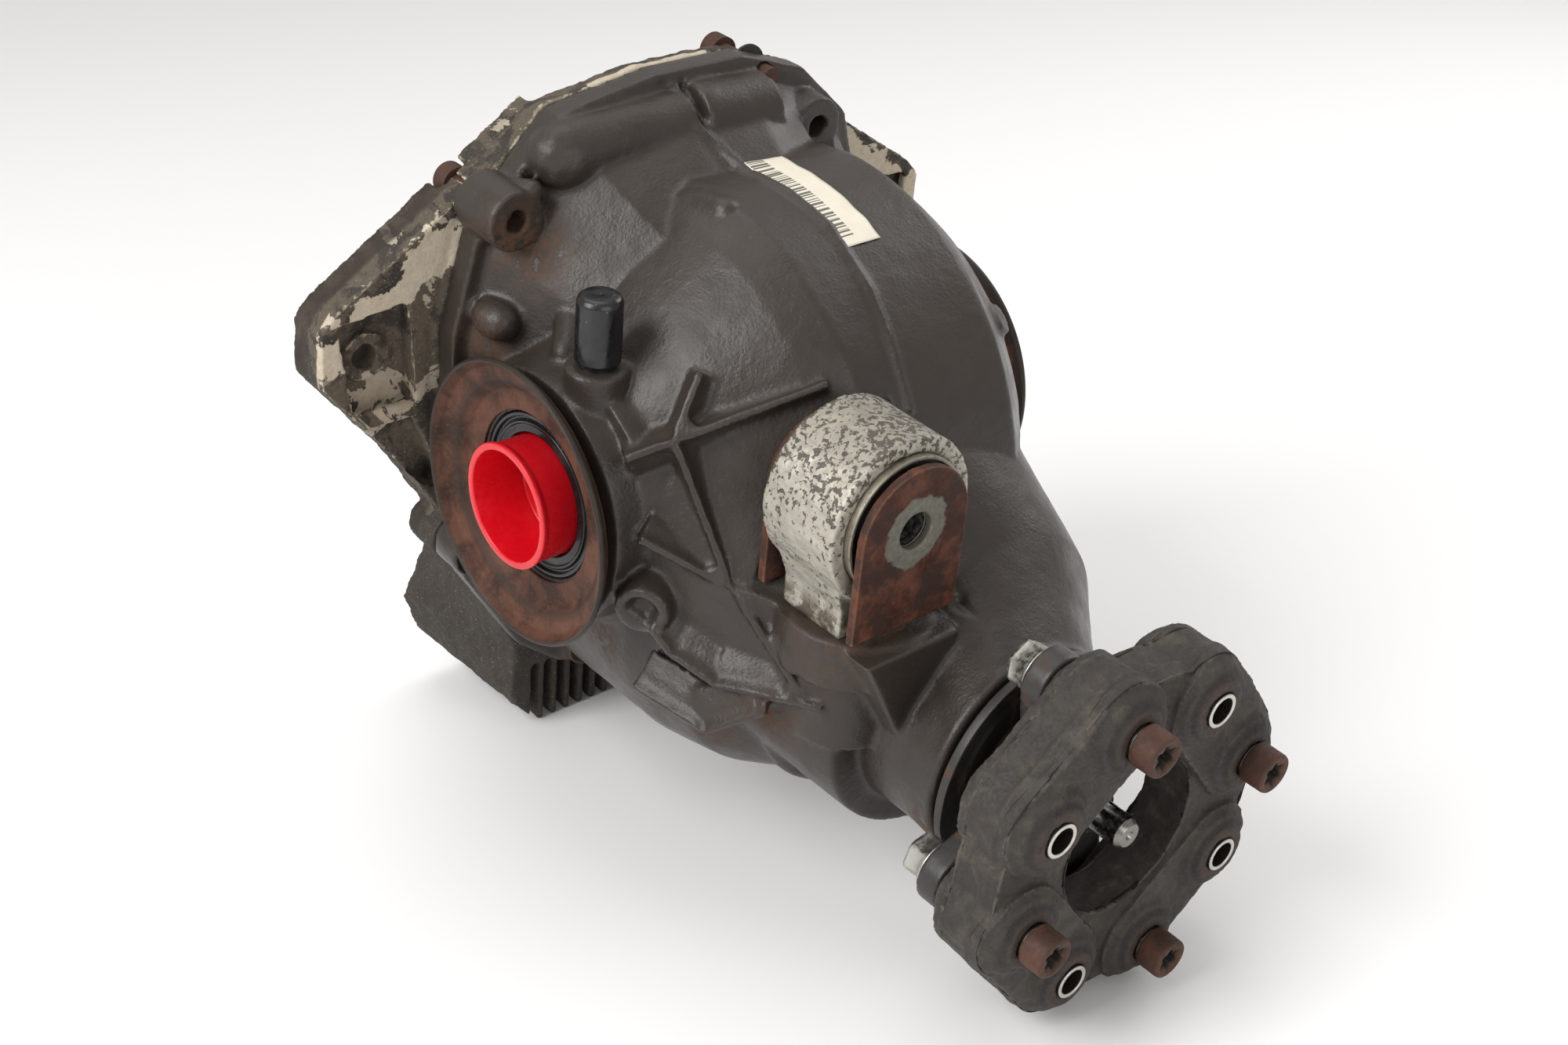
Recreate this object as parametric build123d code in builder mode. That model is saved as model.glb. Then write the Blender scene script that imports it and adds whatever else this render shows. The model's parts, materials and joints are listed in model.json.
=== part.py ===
"""Rear axle differential of a passenger car, as a set of separate sub-parts.

X is the output (crown wheel) axis, -Y points to the propeller shaft and +Z is up.
The origin is where the output axis crosses the mid-plane of the housing.
All sizes are in millimetres.
"""
from build123d import *
import math
import os

os.makedirs("parts", exist_ok=True)

# ---------------------------------------------------------------- driving dimensions
PINION_Z = -54.2            # hypoid offset of the pinion below the output axis
SEAM_Y = 60.0               # joint face of the housing
GASKET = 1.0
COVER_Y = SEAM_Y + GASKET
COVER_BACK_Y = 112.0
SUMP_BACK_Y = 128.0
SUMP_BOTTOM_Z = -165.0
BARREL_R = 105.0
CAVITY_R = 96.5
TUBE_R = 50.0
TUBE_END_X = 96.0

# output side
RACE_R = 42.0               # outer race of each side bearing
RACE_START_X = 64.0
RACE_END_X = 82.0
JOURNAL_R = 25.0
JOURNAL_BORE_R = 17.0
SEAL_R = 32.5
SEAL_BORE_R = 23.6
SEAL_START_X = 86.0
SEAL_END_X = 95.5
SHIELD_R = 55.7
SHIELD_END_X = 107.4
SHEET = 1.4
PLUG_R = 23.5
PLUG_START_X = 85.5
PLUG_END_X = 110.0

# gears
CROWN_R = 92.5
CROWN_BORE_R = 56.0
CROWN_TEETH = 43
CROWN_TIP_X = 30.0
CROWN_ROOT_X = 35.0
CROWN_BACK_X = 50.0
PINION_TEETH = 14
PINION_TIP_R = 29.4
PINION_FRONT_Y = -76.0
PINION_BACK_Y = -52.0
SIDE_TEETH = 16
SPIDER_TEETH = 10
GEAR_BALL_R = 46.0          # spherical backs of the bevel gears
PIN_R = 8.0
CASE_R = 55.9
FLANGE_R = 78.0
CROWN_BOLTS = 10
CROWN_BOLT_CIRCLE_R = 67.0

# pinion nose, positions along Y
NOSE_MOUTH_Y = -169.0
NOSE_MOUTH_R = 44.3
NOSE_R = 42.0
REAR_BEARING_Y = (-108.0, -88.0)
FRONT_BEARING_Y = (-152.0, -136.0)
PINION_SEAL_Y = (-167.0, -157.0)
PINION_SEAL_R = 33.0
HUB_R = 21.0
ARM_Y = (-195.0, -185.0)

# flexible coupling
DISC_Y = (-230.0, -195.0)
COUPLING_R = 55.0           # half of the 110 mm pitch circle
LOBE_R = 18.5
BAND_R = (32.0, 66.0)
SLEEVE_R = (5.1, 6.75)
BOLTED_BORE_R = 5.5         # sleeves and flange holes that hold a fitted bolt
COUPLING_BOLT_R = 5.4
SLEEVE_ANGLES = [29.0, 119.0, 209.0, 299.0]
BOLT_ANGLES = [74.0, 164.0, 254.0, 344.0]
CENTRING_PIN_R = 6.2
CENTRING_PIN_TIP_Y = -223.0

# front bush
BUSH_X = -38.0
BUSH_Z = 39.3
BUSH_Y = (-138.5, -88.0)
PLATE = 3.5
PLATE_WIDTH = 49.0
BUSH_RING_R = 32.0
BUSH_SHELL_R = 26.0
BUSH_SLEEVE_R = 11.0
BUSH_BORE_R = 7.25
PAD_Z = -4.0

# rear cover
EAR_HOLE_X = 128.0
EAR_HOLE_Z = 36.5
EAR_HOLE_R = 5.1
EAR_Y = (62.0, 82.0)
FILLER = (-40, COVER_BACK_Y, 30)
DRAIN = (0, SUMP_BACK_Y, -108)
FIN_PITCH = 7.0
FIN_GAP = 3.8

X_AXIS = (1, 0, 0)
Y_AXIS = (0, 1, 0)
Z_AXIS = (0, 0, 1)
PINION = (0, 0, PINION_Z)


# ---------------------------------------------------------------- helpers
def turn(outline, origin=(0, 0, 0), along=X_AXIS, mode=Mode.ADD):
    """Revolve an outline of (distance, radius) points about the axis through origin."""
    side = Z_AXIS if abs(along[2]) < 0.5 else X_AXIS
    with BuildSketch(Plane(origin=origin, x_dir=along, z_dir=side)) as profile:
        with BuildLine():
            Polyline(*outline, close=True)
        make_face()
    revolve(profile.sketch, axis=Axis(origin, along), mode=mode)


def tube(start, end, outer, inner, origin=(0, 0, 0), along=X_AXIS, mode=Mode.ADD):
    """Plain ring from start to end along an axis."""
    turn([(start, inner), (start, outer), (end, outer), (end, inner)], origin, along, mode)


def block(low, high, mode=Mode.ADD):
    """Box between two corners."""
    size = [b - a for a, b in zip(low, high)]
    with BuildSketch(Plane.XY.offset(low[2])) as base:
        with Locations(((low[0] + high[0]) / 2, (low[1] + high[1]) / 2)):
            Rectangle(size[0], size[1])
    extrude(base.sketch, amount=size[2], mode=mode)


def slab(outline, start, end, mode=Mode.ADD, corner=0.0):
    """Prism along Y from an outline of (x, z) points."""
    with BuildSketch(Plane(origin=(0, start, 0), x_dir=X_AXIS, z_dir=(0, -1, 0))) as face:
        with BuildLine():
            Polyline(*outline, close=True)
        make_face()
        if corner:
            fillet(face.vertices(), corner)
    extrude(face.sketch, amount=start - end, mode=mode)


def rod(start, end, radius, mode=Mode.ADD):
    """Cylinder between two points."""
    a, b = Vector(*start), Vector(*end)
    with BuildSketch(Plane(origin=a, z_dir=b - a)) as end_face:
        Circle(radius)
    extrude(end_face.sketch, amount=(b - a).length, mode=mode)


def rib(start, end, inward, depth=26.0, thickness=6.0):
    """Cast web whose crest runs from start to end and whose root goes inward."""
    a, b = Vector(*start), Vector(*end)
    along = (b - a).normalized()
    normal = along.cross(Vector(*inward)).normalized()
    side = 1 if normal.cross(along).dot(Vector(*inward)) > 0 else -1
    length = (b - a).length
    with BuildSketch(Plane(origin=a, x_dir=along, z_dir=normal)) as web:
        with BuildLine():
            Polyline((0, 0), (length, 0), (length, side * depth), (0, side * depth), close=True)
        make_face()
    extrude(web.sketch, amount=thickness / 2, both=True)


def circle_loft(sections, mode=Mode.ADD):
    """Loft through circles given as (y, x, z, radius)."""
    faces = []
    for y, x, z, radius in sections:
        with BuildSketch(Plane(origin=(x, y, z), x_dir=X_AXIS, z_dir=(0, -1, 0))) as section:
            Circle(radius)
        faces.append(section.sketch)
    loft(faces, ruled=True, mode=mode)


def around(angle, radius, y):
    """Point on a circle about the pinion axis; the angle runs from +Z towards +X."""
    a = math.radians(angle)
    return (radius * math.sin(a), y, PINION_Z + radius * math.cos(a))


def gear_points(count, root_r, tip_r, root_half, tip_half, turned=0.0):
    """Closed outline of straight-flanked teeth, angles in degrees."""
    points = []
    for tooth in range(count):
        centre = turned + 360 / count * tooth
        corners = [(root_r, -root_half), (tip_r, -tip_half), (tip_r, tip_half), (root_r, root_half)]
        for radius, offset in corners:
            a = math.radians(centre + offset)
            points.append((radius * math.cos(a), radius * math.sin(a)))
    return points


def outline_face(plane, points):
    """Flat face from a closed outline."""
    with BuildSketch(plane) as face:
        with BuildLine():
            Polyline(*points, close=True)
        make_face()
    return face.sketch


def headed_bolt(start, along, shank_r, shank, head_r, head, socket_r=0.0):
    """Bolt whose head seats at start, with its shank running along the direction."""
    seat, way = Vector(*start), Vector(*along).normalized()
    top = seat - way * head
    rod(top, seat, head_r)
    rod(seat, seat + way * shank, shank_r)
    if socket_r:
        with BuildSketch(Plane(origin=top, z_dir=way)) as socket:
            RegularPolygon(socket_r, 6)
            RegularPolygon(socket_r, 6, rotation=30)
        extrude(socket.sketch, amount=head * 0.6, mode=Mode.SUBTRACT)


def save(part, name):
    part.label = name
    export_step(part, f"parts/{name}.step")


# ---------------------------------------------------------------- shared outlines
# Joint face of the housing and cover, in (x, z), clockwise from the upper left.
SEAM_OUTLINE = [
    (-55, 124), (-10, 131), (33, 131), (64, 121), (90, 97), (101, 60), (100, 10),
    (100, -45), (84, -92), (48, -120), (0, -128), (-44, -128), (-66, -110),
    (-94, -66), (-100, -20), (-100, 44), (-90, 83), (-80, 97),
]
CAVITY_OUTLINE = [
    (-64, 0), (-64, 56), (-50, 66), (20, 68), (26, CAVITY_R), (53, CAVITY_R), (64, 82), (64, 0),
]
LUGS = [(-82, 93), (62, 101)]
FRONT_BOLTS = [(-34, -119), (-92, -52), (26, -116), (74, -88), (94, -46), (94, 56)]
TOP_BOLT = (43, 122)
ALL_BOLTS = LUGS + FRONT_BOLTS + [TOP_BOLT]
BOLT_R = 4.0
HOLE_R = BOLT_R + 0.4


def facing_front(y, x=0.0, z=0.0):
    """Plane at y whose normal points to the front, with local axes X and Z."""
    return Plane(origin=(x, y, z), x_dir=X_AXIS, z_dir=(0, -1, 0))


def seam_outline(scale):
    return [(x * scale, z * scale) for x, z in SEAM_OUTLINE]


def flip(outline):
    """Mirror an outline of (distance, radius) points to the other side of the origin."""
    return [(-x, r) for x, r in outline]


# ---------------------------------------------------------------- housing
SHELL_OUTLINE = [
    (-TUBE_END_X, 0), (-TUBE_END_X, TUBE_R), (-84, TUBE_R + 1), (-76, 57), (-55, 79), (-34, 97),
    (-20, BARREL_R), (50, BARREL_R), (70, 88), (86, 60), (90, TUBE_R + 1), (TUBE_END_X, TUBE_R),
    (TUBE_END_X, 0),
]
FLANK_RIBS = [
    [(-92, -46, 38), (-31, -81, 67)],
    [(-63, -49, 66), (-77, -54, 45), (-70, -83, -4), (-63, -119, -34)],
    [(-92, -57, 10), (-73, -77, -3), (-59, -102, -7)],
    [(-92, -57, -20), (-87, -72, -33), (-80, -90, -39), (-60, -125, -36)],
    [(-90, -55, -57), (-82, -89, -60), (-71, -109, -43)],
]
BREATHER = (-82, -15)
BREATHER_Z = 58.5

with BuildPart() as carrier_housing:
    turn(SHELL_OUTLINE)
    circle_loft([(-52, 0, -10, 84), (-128, 0, -54, 54)])
    circle_loft([(-66, 8, -13, 74), (-130, 22, -42, 52), (-150, 10, -48, 46), (-166, 0, PINION_Z, 44.3)])
    # belly round the pinion head
    circle_loft([(50, -8, -52, 70), (-35, -8, -52, 70), (-63, -6, -52, 66), (-84, 0, -54, 57),
                 (-112, 0, -54, 46), (-122, 0, -54, 43)])
    # recess for the front bush
    block((-110, -148, PAD_Z), (-6, BUSH_Y[1] + 1.5, 110), Mode.SUBTRACT)
    turn([(NOSE_MOUTH_Y, 0), (NOSE_MOUTH_Y, NOSE_MOUTH_R), (-160, 43), (-150, NOSE_R), (-120, NOSE_R),
          (-120, 0)], PINION, Y_AXIS)
    loft([outline_face(facing_front(SEAM_Y - 10), seam_outline(0.94)),
          outline_face(facing_front(2), seam_outline(0.74))], ruled=True)
    for points in FLANK_RIBS:
        for a, b in zip(points, points[1:]):
            rib(a, b, (-a[0], -a[1], -a[2]))
    rod((-70, -45, -18), (-87, -57, -23), 11)
    rod((60, -58, 50), (70, -68, 60), 6)
    # boss and web of the breather
    rod((BREATHER[0], BREATHER[1], 20), (BREATHER[0], BREATHER[1], BREATHER_Z), 12)
    rib((BREATHER[0], -42, 40), (BREATHER[0], BREATHER[1], BREATHER_Z - 2), (0, 0, -1), 20, 7)
    # pad under the front bush
    rod((BUSH_X, -114, -24), (BUSH_X, -114, PAD_Z), 28)
    rod((BUSH_X, -114, -54), (BUSH_X, -114, -24), 22)
    block((-12, -134, -40), (10, -116, 0))
    slab([(-60, -6), (-16, -5), (-38, -48)], -146, -133)
    # ridge along the top of the joint face
    rod((-57, 46, 110), (0, 46, 112), 13)
    rod((3, 46, 112), (40, 46, 110), 15)
    # keep the solid on its own side of the joint face, then add the flange
    block((-200, SEAM_Y - 10, -200), (200, 300, 200), Mode.SUBTRACT)
    slab(seam_outline(1.0), SEAM_Y - 10, SEAM_Y, corner=8)
    for x, z in LUGS:
        rod((x, SEAM_Y - 24, z), (x, SEAM_Y, z), 12)
    for x, z in FRONT_BOLTS:
        rod((x, SEAM_Y - 16, z), (x, SEAM_Y, z), 10)
    # hollows
    turn(CAVITY_OUTLINE, mode=Mode.SUBTRACT)
    for side in (-1, 1):
        tube(side * 60, side * (RACE_END_X + 2), RACE_R, 0, mode=Mode.SUBTRACT)
        tube(side * 80, side * 100, SEAL_R, 0, mode=Mode.SUBTRACT)
    tube(REAR_BEARING_Y[0], -84, 36, 0, PINION, Y_AXIS, Mode.SUBTRACT)
    tube(-85, -50, 31, 0, PINION, Y_AXIS, Mode.SUBTRACT)
    tube(FRONT_BEARING_Y[1], REAR_BEARING_Y[0], 29, 0, PINION, Y_AXIS, Mode.SUBTRACT)
    tube(FRONT_BEARING_Y[0], FRONT_BEARING_Y[1], 31, 0, PINION, Y_AXIS, Mode.SUBTRACT)
    tube(-158, FRONT_BEARING_Y[0], 27, 0, PINION, Y_AXIS, Mode.SUBTRACT)
    tube(NOSE_MOUTH_Y - 1, PINION_SEAL_Y[1], PINION_SEAL_R, 0, PINION, Y_AXIS, Mode.SUBTRACT)
    rod((BREATHER[0], BREATHER[1], 0), (BREATHER[0], BREATHER[1], BREATHER_Z + 1), 3.0, Mode.SUBTRACT)
    for x, z in LUGS + FRONT_BOLTS:
        rod((x, 0, z), (x, SEAM_Y + 1, z), HOLE_R, Mode.SUBTRACT)
    rod((TOP_BOLT[0], SEAM_Y - 18, TOP_BOLT[1]), (TOP_BOLT[0], SEAM_Y + 1, TOP_BOLT[1]), HOLE_R, Mode.SUBTRACT)
    for x, z in FRONT_BOLTS:
        rod((x, 10, z), (x, SEAM_Y - 14, z), 9, Mode.SUBTRACT)
    for x, z in LUGS:
        rod((x, 10, z), (x, SEAM_Y - 24, z), 12, Mode.SUBTRACT)
    rod((BUSH_X, -114, -30), (BUSH_X, -114, 0), 6.0, Mode.SUBTRACT)
save(carrier_housing.part, "carrier_housing")

# ---------------------------------------------------------------- cover
EAR_OUTLINE = [
    (-143, 59), (-149, 52), (-149, 30), (-115, -12), (-88, -55), (-70, -55), (-50, 60), (-50, 120), (-59, 114),
]
EAR_POCKETS = [
    [(-142, 54), (-112, 57), (-109, 14), (-136, 16)], [(-134, 8), (-110, 8), (-95, -28), (-106, -24)],
]
POCKET_DEPTH = 8.0
BOSS_DEPTH = 4.0
# Half of the sump's section at its front and its back, in (x, z).
SUMP_FRONT = [(48, -165), (58, -153), (62, -145), (60, -122), (84, -70), (84, -50)]
SUMP_BACK = [(54, -162), (67, -146), (74, -127), (62, -99), (62, -70), (62, -50)]
FLANGE_BACK_Y = 72.0
BOLT_SEAT_Y = 75.0


def both_sides(outline):
    """Closed outline from its +X half, listed from the bottom up."""
    return outline + [(-x, z) for x, z in reversed(outline)]


def mirror_if(side, outline):
    return [(-side * x, z) for x, z in outline]


with BuildPart() as rear_cover:
    loft([outline_face(facing_front(COVER_Y), both_sides(SUMP_FRONT)),
          outline_face(facing_front(SUMP_BACK_Y), both_sides(SUMP_BACK))], ruled=True)
    for side in (-1, 1):
        slab(mirror_if(side, EAR_OUTLINE), EAR_Y[0], EAR_Y[1])
    loft([outline_face(facing_front(COVER_Y), seam_outline(1.0)),
          outline_face(facing_front(FLANGE_BACK_Y), seam_outline(0.975))], ruled=True)
    loft([outline_face(facing_front(FLANGE_BACK_Y), seam_outline(0.975)),
          outline_face(facing_front(COVER_BACK_Y), seam_outline(0.74))], ruled=True)
    for x, z in FRONT_BOLTS:
        rod((x, COVER_Y, z), (x, COVER_Y + 18, z), 10)
    # fins under the sump
    fins = int(2 * 54 / FIN_PITCH)
    for index in range(fins):
        x = (index - (fins - 1) / 2) * FIN_PITCH
        block((x - FIN_GAP / 2, COVER_Y - 1, SUMP_BOTTOM_Z - 1),
              (x + FIN_GAP / 2, SUMP_BACK_Y + 1, -134), Mode.SUBTRACT)
    # pockets round the mounting holes
    for side in (-1, 1):
        for pocket in EAR_POCKETS:
            slab(mirror_if(side, pocket), EAR_Y[0] - 1, EAR_Y[0] + POCKET_DEPTH, Mode.SUBTRACT)
        centre = side * EAR_HOLE_X
        rod((centre, EAR_Y[0] + BOSS_DEPTH, EAR_HOLE_Z), (centre, EAR_Y[0] + POCKET_DEPTH + 2, EAR_HOLE_Z), 10)
        rod((centre, EAR_Y[0] - 1, EAR_HOLE_Z), (centre, EAR_Y[1] + 1, EAR_HOLE_Z), EAR_HOLE_R,
            Mode.SUBTRACT)
    turn(CAVITY_OUTLINE, mode=Mode.SUBTRACT)
    block((-52, COVER_Y + 22, -124), (52, SUMP_BACK_Y - 19, -56), Mode.SUBTRACT)
    for x, z in ALL_BOLTS:
        rod((x, COVER_Y - 1, z), (x, COVER_Y + 17, z), BOLT_R if (x, z) in FRONT_BOLTS else HOLE_R,
            Mode.SUBTRACT)
    for x, z in LUGS + [TOP_BOLT]:
        rod((x, BOLT_SEAT_Y, z), (x, COVER_BACK_Y + 1, z), 8, Mode.SUBTRACT)
    for x, y, z in (FILLER, DRAIN):
        rod((x, y - 18, z), (x, y + 1, z), 11, Mode.SUBTRACT)
save(rear_cover.part, "rear_cover")

with BuildPart() as cover_gasket:
    slab(seam_outline(0.99), SEAM_Y, COVER_Y, corner=8)
    slab(seam_outline(0.86), SEAM_Y - 1, COVER_Y + 1, Mode.SUBTRACT, corner=8)
    for x, z in ALL_BOLTS:
        rod((x, SEAM_Y, z), (x, COVER_Y, z), 8.5)
        rod((x, SEAM_Y - 1, z), (x, COVER_Y + 1, z), HOLE_R, Mode.SUBTRACT)
save(cover_gasket.part, "cover_gasket")

with BuildPart() as cover_bolts:
    for x, z in FRONT_BOLTS:
        headed_bolt((x, SEAM_Y - 14, z), Y_AXIS, BOLT_R, 30, 6.5, 7, 3.6)
    for x, z in LUGS + [TOP_BOLT]:
        headed_bolt((x, BOLT_SEAT_Y, z), (0, -1, 0), BOLT_R, 30, 6.5, 7, 3.6)
save(cover_bolts.part, "cover_bolts")

with BuildPart() as filler_plug:
    headed_bolt(FILLER, (0, -1, 0), 10.9, 14, 13, 3, 5)
save(filler_plug.part, "filler_plug")

with BuildPart() as drain_plug:
    headed_bolt(DRAIN, (0, -1, 0), 10.9, 14, 13, 3, 5)
save(drain_plug.part, "drain_plug")

# ---------------------------------------------------------------- output sides
SHIELD_OUTLINE = [
    (TUBE_END_X, 33.5), (TUBE_END_X, 43), (100.5, 47), (102.5, 52.5), (106, SHIELD_R),
    (SHIELD_END_X, SHIELD_R), (SHIELD_END_X, SHIELD_R - SHEET), (104.5, 52), (102.5, 46),
    (TUBE_END_X + SHEET, 42), (TUBE_END_X + SHEET, 33.5),
]
SEAL_OUTLINE = [
    (SEAL_START_X, SEAL_R), (SEAL_START_X, 28), (88, 26.5), (88, SEAL_BORE_R + 1.5),
    (90, SEAL_BORE_R), (92, SEAL_BORE_R + 1.2), (SEAL_END_X, SEAL_BORE_R), (SEAL_END_X, SEAL_R - 1),
    (SEAL_END_X - 1, SEAL_R),
]
PLUG_OUTLINE = [
    (PLUG_START_X, 0), (PLUG_START_X, 21), (PLUG_START_X + 2, PLUG_R), (107, PLUG_R),
    (108.6, PLUG_R + 1), (PLUG_END_X, PLUG_R + 1), (PLUG_END_X, PLUG_R - 1.8),
    (PLUG_START_X + 2, 20.4), (PLUG_START_X + 2, 0),
]


def turned_part(outline):
    with BuildPart() as piece:
        turn(outline)
    return piece.part


for side_name, sign in [("right", -1), ("left", 1)]:
    mirrored = flip if sign < 0 else list
    save(turned_part(mirrored(SHIELD_OUTLINE)), f"{side_name}_output_shield")
    save(turned_part(mirrored(SEAL_OUTLINE)), f"{side_name}_output_seal")
    save(turned_part(mirrored(PLUG_OUTLINE)), f"{side_name}_transport_plug")
    shim = [(RACE_END_X, 36), (RACE_END_X, RACE_R), (RACE_END_X + 2, RACE_R), (RACE_END_X + 2, 36)]
    save(turned_part(mirrored(shim)), f"{side_name}_bearing_shim")


# ---------------------------------------------------------------- tapered bearings
def bearing_race(origin, along, width, bore_r, outer_r):
    """Outer race; the taper opens along the given direction."""
    middle = (bore_r + outer_r) / 2
    with BuildPart() as race:
        turn([(0, outer_r), (width, outer_r), (width, middle + 5.2), (0, middle + 2.2)], origin, along)
    return race.part


def bearing_cone(origin, along, width, bore_r, outer_r, rollers):
    """Inner race with its ring of tapered rollers."""
    middle = (bore_r + outer_r) / 2
    start, way = Vector(*origin), Vector(*along)
    with BuildPart() as cone:
        turn([(0, bore_r), (0, middle - 3.4), (width, middle - 1.9), (width, bore_r)], origin, along)
        rings = []
        for station, radius, centre in [(1.5, 2.6, middle - 0.6), (width - 1.5, 3.1, middle + 1.5)]:
            with BuildSketch(Plane(origin=start + way * station, z_dir=way)) as ring:
                with PolarLocations(centre, rollers):
                    Circle(radius)
            rings.append(ring.sketch.faces())
        for low, high in zip(*rings):
            loft([low, high])
    return cone.part


for side_name, sign in [("right", -1), ("left", 1)]:
    place = ((sign * RACE_START_X, 0, 0), (sign, 0, 0), RACE_END_X - RACE_START_X, JOURNAL_R, RACE_R)
    save(bearing_race(*place), f"{side_name}_bearing_race")
    save(bearing_cone(*place, 18), f"{side_name}_bearing_cone")

rear_place = ((0, REAR_BEARING_Y[0], PINION_Z), (0, 1, 0), 20, 19.0, 36)
front_place = ((0, FRONT_BEARING_Y[1], PINION_Z), (0, -1, 0), 16, 15.0, 31)
save(bearing_race(*rear_place), "pinion_rear_race")
save(bearing_cone(*rear_place, 16), "pinion_rear_cone")
save(bearing_race(*front_place), "pinion_front_race")
save(bearing_cone(*front_place, 14), "pinion_front_cone")

# ---------------------------------------------------------------- pinion line
with BuildPart() as pinion_gear:
    sections = []
    for y, tip, twist in [(PINION_FRONT_Y, PINION_TIP_R, 0), (-64, 28.0, 12), (PINION_BACK_Y, 26.4, 24)]:
        points = gear_points(PINION_TEETH, tip - 6, tip, 8.5, 3.6, twist)
        sections.append(outline_face(facing_front(y, 0, PINION_Z), points))
    loft(sections, ruled=True)
    turn([(-205, 0), (-205, 10.5), (-196, 10.5), (-196, 12.5), (-153, 12.5), (-153, 15), (-134, 15),
          (-134, 16), (-108, 16), (-108, 19), (-88, 19), (-88, 26), (-76, 23.4), (-75, 0)],
         PINION, Y_AXIS)
    tube(-206, -190, 4.0, 0, PINION, Y_AXIS, Mode.SUBTRACT)
save(pinion_gear.part, "pinion_gear")

with BuildPart() as crush_sleeve:
    turn([(-136, 16.1), (-136, 18.5), (-124, 18.5), (-122, 21), (-120, 18.5), (-108, 18.5), (-108, 16.4),
          (-110, 16.1)], PINION, Y_AXIS)
save(crush_sleeve.part, "crush_sleeve")

with BuildPart() as pinion_seal:
    turn([(PINION_SEAL_Y[0], PINION_SEAL_R), (PINION_SEAL_Y[1], PINION_SEAL_R), (PINION_SEAL_Y[1], 27),
          (-160, 25), (-160, HUB_R + 0.1), (-162, HUB_R + 0.1), (-163, 23), (-164, 23),
          (PINION_SEAL_Y[0], HUB_R + 0.1)], PINION, Y_AXIS)
save(pinion_seal.part, "pinion_seal")

with BuildPart() as pinion_flange:
    turn([(-153, 12.5), (-153, HUB_R), (-174, HUB_R), (-178, 27), (ARM_Y[1], 30), (ARM_Y[0] + 1, 30),
          (ARM_Y[0] + 1, 22), (-188, 20), (-188, 12.5)], PINION, Y_AXIS)
    for angle in BOLT_ANGLES:
        with BuildSketch(facing_front(ARM_Y[1])):
            for radius, size in [(18, 15.0), (COUPLING_R, 12.0)]:
                x, y, z = around(angle, radius, 0)
                with Locations((x, z)):
                    Circle(size)
            make_hull()
        extrude(amount=ARM_Y[1] - ARM_Y[0])
    tube(ARM_Y[0] - 1, -188, 20, 0, PINION, Y_AXIS, Mode.SUBTRACT)
    tube(-190, -150, 12.5, 0, PINION, Y_AXIS, Mode.SUBTRACT)
    for angle in BOLT_ANGLES:
        rod(around(angle, COUPLING_R, ARM_Y[0] - 1), around(angle, COUPLING_R, ARM_Y[1] + 1), BOLTED_BORE_R,
            Mode.SUBTRACT)
save(pinion_flange.part, "pinion_flange")

with BuildPart() as flange_dust_ring:
    turn([(-174.5, 24.3), (-173.3, 22), (-171.5, 22), (-171.5, 45.5), (-175.5, 45.5), (-175.5, 44.2),
          (-173, 44.2), (-173, 24.3)], PINION, Y_AXIS)
save(flange_dust_ring.part, "flange_dust_ring")

with BuildPart() as flange_nut:
    with BuildSketch(Plane(origin=(0, -188, PINION_Z), z_dir=(0, -1, 0))):
        RegularPolygon(18, 6)
        Circle(12.5, mode=Mode.SUBTRACT)
    extrude(amount=12)
save(flange_nut.part, "flange_nut")

with BuildPart() as centring_pin:
    turn([(-205, 0), (-205, 4), (-192, 4), (-192, 0)], PINION, Y_AXIS)
    turn([(-205, 0), (-205, 9), (-207, 9), (-208, CENTRING_PIN_R), (CENTRING_PIN_TIP_Y + 2, CENTRING_PIN_R),
          (CENTRING_PIN_TIP_Y, 4.6), (CENTRING_PIN_TIP_Y, 1.6), (CENTRING_PIN_TIP_Y + 2.5, 0)],
         PINION, Y_AXIS)
save(centring_pin.part, "centring_pin")

# ---------------------------------------------------------------- flexible coupling
with BuildPart() as flex_disc:
    for sleeve, bolt in zip(SLEEVE_ANGLES, BOLT_ANGLES):
        with BuildSketch(facing_front(DISC_Y[1])):
            ends = [around(angle, COUPLING_R, 0) for angle in (sleeve, bolt)]
            with Locations(*[(p[0], p[2]) for p in ends]):
                Circle(LOBE_R)
            make_hull()
        extrude(amount=DISC_Y[1] - DISC_Y[0])
    tube(DISC_Y[0] + 3, DISC_Y[1] - 3, BAND_R[1], BAND_R[0], PINION, Y_AXIS)
    tube(DISC_Y[0] - 1, DISC_Y[1] + 1, BAND_R[0], 0, PINION, Y_AXIS, Mode.SUBTRACT)
    for angle in SLEEVE_ANGLES + BOLT_ANGLES:
        rod(around(angle, COUPLING_R, DISC_Y[0] - 1), around(angle, COUPLING_R, DISC_Y[1] + 1),
            SLEEVE_R[1], Mode.SUBTRACT)
save(flex_disc.part, "flex_disc")

with BuildPart() as flex_disc_sleeves:
    for angles, bore in ((SLEEVE_ANGLES, SLEEVE_R[0]), (BOLT_ANGLES, BOLTED_BORE_R)):
        for angle in angles:
            rod(around(angle, COUPLING_R, DISC_Y[0] - 1), around(angle, COUPLING_R, DISC_Y[1]), SLEEVE_R[1])
            rod(around(angle, COUPLING_R, DISC_Y[0] - 2), around(angle, COUPLING_R, DISC_Y[1] + 1),
                bore, Mode.SUBTRACT)
save(flex_disc_sleeves.part, "flex_disc_sleeves")

with BuildPart() as coupling_bolts:
    for angle in BOLT_ANGLES:
        headed_bolt(around(angle, COUPLING_R, DISC_Y[0] - 1), Y_AXIS, COUPLING_BOLT_R, 58, 8.0, 10, 4.6)
save(coupling_bolts.part, "coupling_bolts")

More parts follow.
